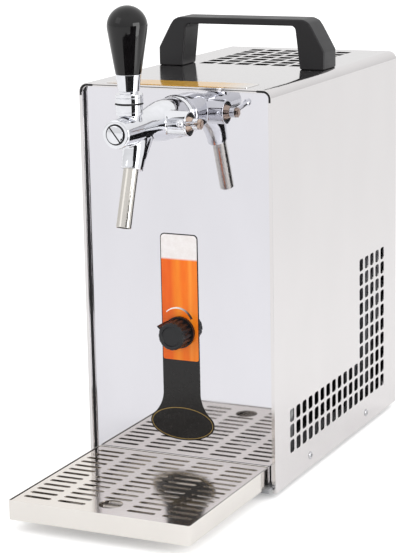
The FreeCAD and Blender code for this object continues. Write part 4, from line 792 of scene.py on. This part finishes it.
class COOLER_OT_tap_body(Operator):
    """Join the turned and drawn-out forms of the tap's casting, soften them as cast metal, and bore them"""
    bl_idname = "cooler.tap_body"
    bl_label = "Tap casting"

    def execute(self, context):
        sizes = context.scene.tap_sizes
        count, back = sizes.segments, 0.5
        barrel = [(15.3, 0), (16.4, 1.0), (17.1, 2.4), (17.3, 4.0), (17.3, 19.0), (17.15, 22.5),
                  (16.6, 27.5), (15.7, 33.0), (14.7, 39.0), (13.7, 44.5), (12.8, 50.0), (12.2, 54.5),
                  (12.0, 59.0), (12.0, 104.4), (11.6, 105.4), (10.9, 105.8)]
        body = turned("tap_casting", barrel, on_tap(back), FRONT, count)
        neck = turned("neck", [(9.5, 0), (9.5, 12.9)], on_tap(STACK), UP, count)
        side = turned("side", [(10.6, 0), (10.6, 30.4), (10.4, 30.9), (10.0, 31.0)],
                      on_tap(BARREL_DEPTH), RIGHT, count)
        for form in (neck, side, self.socket(count)):
            combine(body, form, "UNION")
        self.soften_casting(body, sizes.casting_edge)
        self.bore(body, count)
        smooth(body, CAST)
        fit(body, "cabinet", "tap_chrome", ("tap_body",))
        self.rosette(count)
        skin("tap_shank", "bright_steel")
        skin("shank_back_nut", "brass", 0.4)
        return {"FINISHED"}

    def socket(self, count):
        """The spout's socket: a round mouth that widens into an oval root under the barrel."""
        # Height, half width, half depth, and how far back the ring's middle lies
        rings = [(0.0, 8.5, 10.8, 2.0), (2.5, 8.6, 10.9, 2.0), (6.0, 8.9, 11.3, 2.2), (10.0, 9.2, 12.1, 2.6),
                 (15.2, 9.7, 13.7, 3.2), (20.0, 10.1, 15.8, 3.7), (25.0, 10.3, 18.4, 4.1),
                 (29.0, 10.4, 20.6, 4.2)]
        deselect_all()
        bpy.ops.mesh.primitive_circle_add(vertices=count, radius=rings[0][1] * MM, fill_type="NGON")
        socket = bpy.context.object
        begin_edit()
        bpy.ops.transform.resize(value=(1, rings[0][2] / rings[0][1], 1))
        bpy.ops.transform.translate(value=(0, rings[0][3] * MM, 0))
        for before, here in zip(rings, rings[1:]):
            extrude(0, (here[3] - before[3]) * MM, (here[0] - before[0]) * MM)
            middle = Vector((0, here[3], here[0])) * MM
            bpy.ops.transform.resize(value=(here[1] / before[1], here[2] / before[2], 1),
                                     center_override=middle)
        end_edit()
        up = (Vector(SPOUT_ROOT) - Vector(SPOUT_END)).normalized()
        tilt = Matrix.Rotation(-math.atan2(up.y, up.z), 4, "X")
        put(socket, tilt, at(*SPOUT_ROOT))
        return socket

    def soften_casting(self, body, voxel):
        """Melt the joints together, as polished cast metal has no sharp inner corners."""
        apply_modifier(body, "REMESH", mode="VOXEL", voxel_size=voxel * MM)
        apply_modifier(body, "SMOOTH", factor=0.5, iterations=10)

    def bore(self, body, count):
        """Cut the plug's seat, the collar's seat, the side barrel's recess and the spout's seat."""
        up = Vector(SPOUT_ROOT) - Vector(SPOUT_END)
        cuts = [([(8.6, -3), (8.6, 2.6)], on_tap(TAP_FACE), BACK),
                ([(6.55, 2.5), (6.55, 57.0)], on_tap(TAP_FACE), BACK),
                ([(7.3, 0), (7.3, 20)], on_tap(STACK), UP),
                ([(9.3, 0), (9.3, 4)], on_tap(BARREL_DEPTH, 28.0), RIGHT),
                ([(6.3, -3), (6.3, 16)], at(*SPOUT_ROOT), up),
                ([(2.55, 0), (2.55, 20)], on_tap(BARREL_DEPTH, 16.0), RIGHT),
                ([(10.45, -2), (10.45, 7.0)], on_tap(0.5), FRONT)]
        for profile, origin, axis in cuts:
            combine(body, turned("cutter", profile, origin, axis, count), "DIFFERENCE")

    def rosette(self, count):
        """Spun chrome flange with a rolled edge."""
        profile = [(10.6, 0), (18.2, 0), (18.4, 0.2), (18.4, 1.6), (18.2, 2.1), (17.8, 2.6), (17.2, 3.1),
                   (16.6, 3.6), (16.2, 4.1), (16.0, 4.5), (10.6, 4.5), (10.6, 4.4), (10.6, 0.1)]
        lathe_part("tap_flange", profile, on_tap(PANEL_FACE), FRONT, count, "tap_chrome",
                   "tap_rosette")


class COOLER_OT_spout(Operator):
    """Turn the open outlet tube and set it in its socket"""
    bl_idname = "cooler.spout"
    bl_label = "Outlet tube"

    def execute(self, context):
        down = Vector(SPOUT_END) - Vector(SPOUT_ROOT)
        length, inner, outer = down.length, 5.45, 6.25
        profile = [(inner, -15.9), (outer, -15.9), (outer, length - 0.25), (6.05, length), (5.6, length),
                   (inner, length - 0.2), (inner, -15.0)]
        lathe_part("outlet_tube", profile, at(*SPOUT_ROOT), down, context.scene.tap_sizes.segments,
                   "spout_steel", "spout_tube")
        return {"FINISHED"}


class COOLER_OT_valve(Operator):
    """Turn the slotted end plug, and dress its ring, the plunger and the collar nut"""
    bl_idname = "cooler.valve"
    bl_label = "Valve plug and collar"

    def execute(self, context):
        count = context.scene.tap_sizes.segments
        face = -106.8
        profile = [(6.4, 7.7), (6.4, 4.1), (7.4, 4.1), (7.4, 0.6), (7.25, 0.2), (6.9, 0.0)]
        plug = turned("end_plug", profile, on_tap(face), BACK, count)
        seat = [(8.45, 4.0), (8.5, 1.9), (7.45, 1.9), (7.45, 4.0)]
        packing = turned("end_plug_ring", seat, on_tap(face), BACK, count)
        fit(packing, "cabinet", "black_rubber", ("plug_o_ring",))
        slot = block((1.15, 3.6, 18.0), Matrix.Rotation(math.radians(-38), 4, "Y"), on_tap(face))
        combine(plug, slot, "DIFFERENCE")
        smooth(plug, TURNED)
        fit(plug, "cabinet", "tap_chrome", ("valve_end_plug",), "black_paint")
        # The slot's floor takes the black paint as painted shade in the recess
        rim, floor = at(0, face + 0.25, 0).y, at(0, face + 2.0, 0).y
        for cut in plug.data.polygons:
            off_axis = math.hypot(cut.center.x, cut.center.z - at(0, 0, TAP_LEVEL).z)
            if rim < cut.center.y < floor and off_axis < 6.0 * MM:
                cut.material_index = 1
        skin("valve_plunger", "white_plastic", 0.2)
        skin("lever_collar_nut", "tap_chrome", 0.15, TURNED)
        skin("lever_pivot_pin", "bright_steel")
        skin("lever_dust_seal", "black_rubber")
        return {"FINISHED"}


class COOLER_OT_tap_handle(Operator):
    """Turn the black grip and its chrome ferrule, and dress the ring and the ball lever"""
    bl_idname = "cooler.tap_handle"
    bl_label = "Tap handle"

    def execute(self, context):
        sizes = context.scene.tap_sizes
        foot, count = at(0, STACK, 0), sizes.segments
        lathe_part("grip_handle", self.teardrop(sizes), foot, UP, count, "black_gloss", "tap_grip")
        profile = [(3.2, 354.95), (8.2, 354.95), (8.5, 355.25), (10.42, 368.3), (10.2, 368.55),
                   (3.2, 368.55), (3.2, 368.4), (3.2, 355.1)]
        lathe_part("grip_ferrule", profile, foot, UP, count, "tap_chrome", "handle_ferrule")
        skin("handle_cap_ring", "tap_chrome", 0.2, TURNED)
        skin("tap_lever", "bright_steel")
        return {"FINISHED"}

    def teardrop(self, sizes):
        """Radius and height of a cone that runs tangent into a ball."""
        ball, centre, foot, start = sizes.grip_ball, 407.0, sizes.grip_foot, 368.65
        reach = math.hypot(foot, start - centre)
        touch = math.atan2(start - centre, foot) + math.acos(ball / reach)
        tangent = (ball * math.cos(touch), centre + ball * math.sin(touch))
        profile = [(foot - 0.5, start), (foot - 0.12, start + 0.12), (foot, start + 0.5)]
        for step in range(1, 7):
            share = step / 7
            profile.append((foot + (tangent[0] - foot) * share, start + (tangent[1] - start) * share))
        return profile + corner_arc((0, centre), ball, math.degrees(touch), 87.5, 22)


class COOLER_OT_compensator(Operator):
    """Turn the brass gland of the flow control and dress its spindle, lever and nut"""
    bl_idname = "cooler.compensator"
    bl_label = "Flow control"

    def execute(self, context):
        count, centre = 48, on_tap(BARREL_DEPTH, 28.0)
        profile = [(7.0, 0.0), (7.0, 0.9), (6.7, 1.3), (5.0, 4.7), (4.7, 5.2), (4.6, 5.8), (4.4, 6.0),
                   (2.7, 6.0)]
        lathe_part("flow_gland", profile, centre, RIGHT, count, "brass", "compensator_gland")
        seat = [(9.1, 0.0), (9.1, 0.8), (7.05, 0.8), (7.05, 0.0)]
        washer = turned("flow_packing", seat, centre, RIGHT, count)
        fit(washer, home("compensator_gland"), "black_rubber")
        skin("compensator_spindle", "brass", 0.2)
        self.lever(count)
        skin("compensator_lever_nut", "brass", 0.25)
        return {"FINISHED"}

    def lever(self, count):
        """Tapered lever with a round knob at its end, forged with its hub."""
        hub_end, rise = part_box("compensator_lever")[1].x / MM, math.radians(9)
        profile = [(2.7, -4.4), (4.4, -4.4), (4.6, -4.2), (4.6, -0.2), (4.4, 0.0), (2.7, 0.0)]
        hub = turned("flow_lever", profile, on_tap(BARREL_DEPTH, hub_end), RIGHT, count)
        arm = [(2.4, 3.2), (2.2, 8.0), (1.8, 25.6), (2.2, 26.3), (2.9, 27.2), (3.2, 28.4), (3.2, 31.2),
               (2.9, 32.6), (2.2, 33.6), (1.2, 34.1)]
        root, along = on_tap(BARREL_DEPTH, hub_end - 2.2), (0, -math.cos(rise), math.sin(rise))
        combine(hub, turned("arm", arm, root, along, count), "UNION")
        smooth(hub, TURNED)
        fit(hub, home("compensator_lever"), "tap_chrome", ("compensator_lever",))


# The tray

class COOLER_OT_tray(Operator):
    """Dress the folded pan of the drip tray"""
    bl_idname = "cooler.tray"
    bl_label = "Drip tray"

    def execute(self, context):
        skin("drip_tray", "tray_steel", 0.3, TURNED)
        return {"FINISHED"}


class COOLER_OT_grate(Operator):
    """Draw the grate's sheet, punch its round-ended slots and its finger hole, and fold its sides"""
    bl_idname = "cooler.grate"
    bl_label = "Drain grate"

    def execute(self, context):
        sizes = context.scene.cabinet_sizes
        low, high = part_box("drip_grate")
        gap, gauge, fold, finger = 0.1, 1.0, 6, 10.2
        x, top, floor = high.x / MM - gap, (high.z - CASING_LOW.z) / MM, (low.z - CASING_LOW.z) / MM
        front, back = (low.y - CASING_LOW.y) / MM + gap, (high.y - CASING_LOW.y) / MM - gap
        outline = [(-x, front), (x, front), (x, back), (-x, back)]
        sheet = plate("grate_sheet", outline, gauge, "XY", top - gauge)
        columns, rows, across, along, first_row = 5, 13, 32.0, 10.96, -8.6
        first = plate("slot", rounded_slot(sizes.slot_length, sizes.slot_width), 4.0, "XY", top - 2.5)
        cutters = []
        for column in range(columns):
            for row in range(rows):
                # The finger hole takes the place of the middle column's last two slots
                if column == 2 and row >= 11:
                    continue
                shift = ((column - 2) * across, first_row - row * along, 0)
                cutters.append(twin(first, "slot_cutter", shift))
        bpy.data.objects.remove(first)
        cutters.append(turned("finger", [(finger, -2), (finger, 3)], at(0, -132.0, top - 1.0), UP, 48))
        combine(sheet, joined("slot_cutters", cutters), "DIFFERENCE")
        for side in (-1, 1):
            outline = [(side * x, front + fold), (side * (x - gauge), front + fold),
                       (side * (x - gauge), back - fold), (side * x, back - fold)]
            combine(sheet, plate("grate_leg", outline, top - gauge - floor + 0.3, "XY", floor), "UNION")
        soften(sheet, 0.3)
        settle(sheet)
        fit(sheet, "grate", "grate_steel", ("drip_grate",))
        return {"FINISHED"}


# Inside and behind

class COOLER_OT_machinery(Operator):
    """Give the machinery behind the vents its finishes"""
    bl_idname = "cooler.machinery"
    bl_label = "Cooling machinery"

    def execute(self, context):
        keep("condenser", "aluminium")
        for node, finish, edge in (
                ("refrigeration_compressor", "black_paint", 0.5),
                ("compressor_grommets", "black_rubber", 0.3), ("fan_shroud", "black_plastic", 0.4),
                ("fan_motor", "black_paint", 0.4),
                ("fan_axle", "bright_steel", 0.0), ("fan_impeller", "black_plastic", 0.3),
                ("block_shelf", "base_steel", 0.0), ("cooling_block", "aluminium", 0.5),
                ("air_compressor", "aluminium", 0.4), ("product_line", "clear_tube", 0.0),
                ("beer_supply_line", "clear_tube", 0.0), ("air_line", "clear_tube", 0.0),
                ("refrigerant_lines", "copper", 0.0), ("handle_screws", "bright_steel", 0.3)):
            skin(node, finish, edge)
        return {"FINISHED"}


class COOLER_OT_connections(Operator):
    """Dress the push-in fittings, the mains inlet and the rocker switch at the back"""
    bl_idname = "cooler.connections"
    bl_label = "Rear connections"

    def execute(self, context):
        skin("beer_inlet_fitting", "grey_plastic", 0.3, TURNED)
        skin("air_outlet_fitting", "grey_plastic", 0.3, TURNED)
        skin("fitting_nuts", "grey_plastic", 0.4)
        skin("mains_inlet", "black_plastic", 0.3)
        skin("switch_housing", "black_plastic", 0.3)
        skin("switch_rocker", "black_gloss", 0.3)
        return {"FINISHED"}


# The studio

class COOLER_OT_studio(Operator):
    """Lay the pale floor, set the soft lights and the camera at the picture's view"""
    bl_idname = "cooler.studio"
    bl_label = "Studio"

    def execute(self, context):
        settings = context.scene.studio_settings
        self.floor()
        self.surround(settings.sky)
        self.soft_light("key_light", (-1.8, -3.0, 2.4), 2.0, settings.key)
        self.soft_light("side_light", (0.95, -0.30, 0.35), 0.7, settings.key * 0.75)
        self.card("tall_flag", (0.33, 0.43), (0.477, -0.415), 62)
        self.card("low_flag", (0.24, 0.20), (0.28, -0.58), 30)
        self.card("lying_flag", (0.46, 0.50), (0.16, -0.86))
        self.camera(settings.lens)
        context.scene.view_settings.view_transform = "Standard"
        return {"FINISHED"}

    def floor(self):
        """White paper under the cooler and far beyond the picture."""
        deselect_all()
        bpy.ops.mesh.primitive_plane_add(size=40)
        floor = bpy.context.object
        floor.name = "studio_floor"
        material, shader, coords = new_material("Matt white studio paper", linear("#F8F8F8"), 0.0, 0.9)
        fibre = noise(material, coords, 2, 2.0)
        paint(material, shader, fibre, linear("#FBFBFB"), linear("#FEFEFE"))
        # The picture's floor is overexposed, with only faint shadows left. The reflections stay as they are.
        shader.inputs["Emission Color"].default_value = (1, 1, 1, 1)
        seen = add_node(material, "ShaderNodeLightPath")
        lift = add_node(material, "ShaderNodeMapRange", {"To Max": 0.27},
                        {"Value": (seen, "Is Camera Ray")})
        wire(material, lift, "Result", shader, "Emission Strength")
        floor.data.materials.append(material)

    def surround(self, strength):
        """A white sky, a little brighter overhead."""
        world = bpy.data.worlds.new("White surround")
        world.use_nodes = True
        background = world.node_tree.nodes["Background"]
        background.inputs["Color"].default_value = (1, 1, 1, 1)
        sky = add_node(world, "ShaderNodeTexCoord")
        height = add_node(world, "ShaderNodeSeparateXYZ", None, {"Vector": (sky, "Generated")})
        glow = add_node(world, "ShaderNodeMapRange",
                        {"From Max": 0.7, "To Min": 0.86 * strength, "To Max": 1.12 * strength},
                        {"Value": (height, "Z")})
        wire(world, glow, "Result", background, "Strength")
        bpy.context.scene.world = world

    def soft_light(self, name, place, size, power):
        """A square area light that looks at the cooler's middle."""
        lamp = bpy.data.lights.new(name, "AREA")
        lamp.shape = "SQUARE"
        lamp.size = size
        lamp.energy = power
        light = bpy.data.objects.new(name, lamp)
        bpy.context.scene.collection.objects.link(light)
        light.visible_camera = False
        light.location = place
        light.rotation_mode = "QUATERNION"
        light.rotation_quaternion = (Vector((0, 0, 0.2)) - Vector(place)).to_track_quat("-Z", "Y")

    def card(self, name, size, place, azimuth=None):
        """A black studio flag, out of the picture and seen only in the chrome and the gloss."""
        deselect_all()
        bpy.ops.mesh.primitive_plane_add(size=1)
        card = bpy.context.object
        card.name = name
        card.scale = (*size, 1)
        bpy.ops.object.transform_apply()
        turn, height = Matrix(), 0.002
        if azimuth is not None:
            upright = Matrix.Rotation(math.radians(90), 4, "X")
            turn, height = Matrix.Rotation(math.radians(azimuth), 4, "Z") @ upright, size[1] / 2
        card.matrix_world = Matrix.Translation((*place, height)) @ turn
        card.data.materials.append(coated("Black felt", linear("#0E0E0F"), 0.95))
        card.visible_camera = False
        card.visible_diffuse = False
        card.visible_shadow = False

    def camera(self, lens):
        """Stand the camera where the picture was taken from."""
        azimuth, elevation, roll = math.radians(25.477), math.radians(12.754), math.radians(-1.119)
        upright = Matrix.Rotation(math.radians(90) - elevation, 4, "X")
        turn = Matrix.Rotation(azimuth, 4, "Z") @ upright @ Matrix.Rotation(roll, 4, "Z")
        data = bpy.data.cameras.new("camera")
        data.lens = lens
        data.sensor_width = 36.0
        camera = bpy.data.objects.new("camera", data)
        bpy.context.scene.collection.objects.link(camera)
        camera.matrix_world = Matrix.Translation(Vector((716.2, -1538.35, 556.2)) * MM) @ turn
        bpy.context.scene.camera = camera


STEPS = (COOLER_OT_studio, COOLER_OT_casing, COOLER_OT_feet, COOLER_OT_screws, COOLER_OT_handle,
         COOLER_OT_label, COOLER_OT_knob, COOLER_OT_tap_body, COOLER_OT_spout, COOLER_OT_valve,
         COOLER_OT_tap_handle, COOLER_OT_compensator, COOLER_OT_tray, COOLER_OT_grate,
         COOLER_OT_machinery, COOLER_OT_connections)


class COOLER_PT_panel(Panel):
    """Sizes, colours and steps of the beer cooler"""
    bl_idname = "COOLER_PT_panel"
    bl_label = "Beer cooler"
    bl_space_type = "VIEW_3D"
    bl_region_type = "UI"
    bl_category = "Beer cooler"

    def draw(self, context):
        for group in (context.scene.tap_sizes, context.scene.cabinet_sizes, context.scene.finish_colours,
                      context.scene.studio_settings):
            box = self.layout.box()
            for name in group.bl_rna.properties.keys():
                if name not in ("rna_type", "name"):
                    box.prop(group, name)
        for step in STEPS:
            self.layout.operator(step.bl_idname)


GROUPS = {"tap_sizes": TapSizes, "cabinet_sizes": CabinetSizes, "finish_colours": FinishColours,
          "studio_settings": StudioSettings}


def register():
    for group in GROUPS.values():
        bpy.utils.register_class(group)
    for cls in (*STEPS, COOLER_PT_panel):
        bpy.utils.register_class(cls)
    for name, group in GROUPS.items():
        setattr(bpy.types.Scene, name, PointerProperty(type=group))


def unregister():
    for name in GROUPS:
        delattr(bpy.types.Scene, name)
    for cls in (COOLER_PT_panel, *reversed(STEPS), *reversed(GROUPS.values())):
        bpy.utils.unregister_class(cls)


def main():
    register()
    make_finishes(bpy.context.scene.finish_colours)
    for step in STEPS:
        group, name = step.bl_idname.split(".")
        getattr(getattr(bpy.ops, group), name)()


if __name__ == "__main__":
    main()
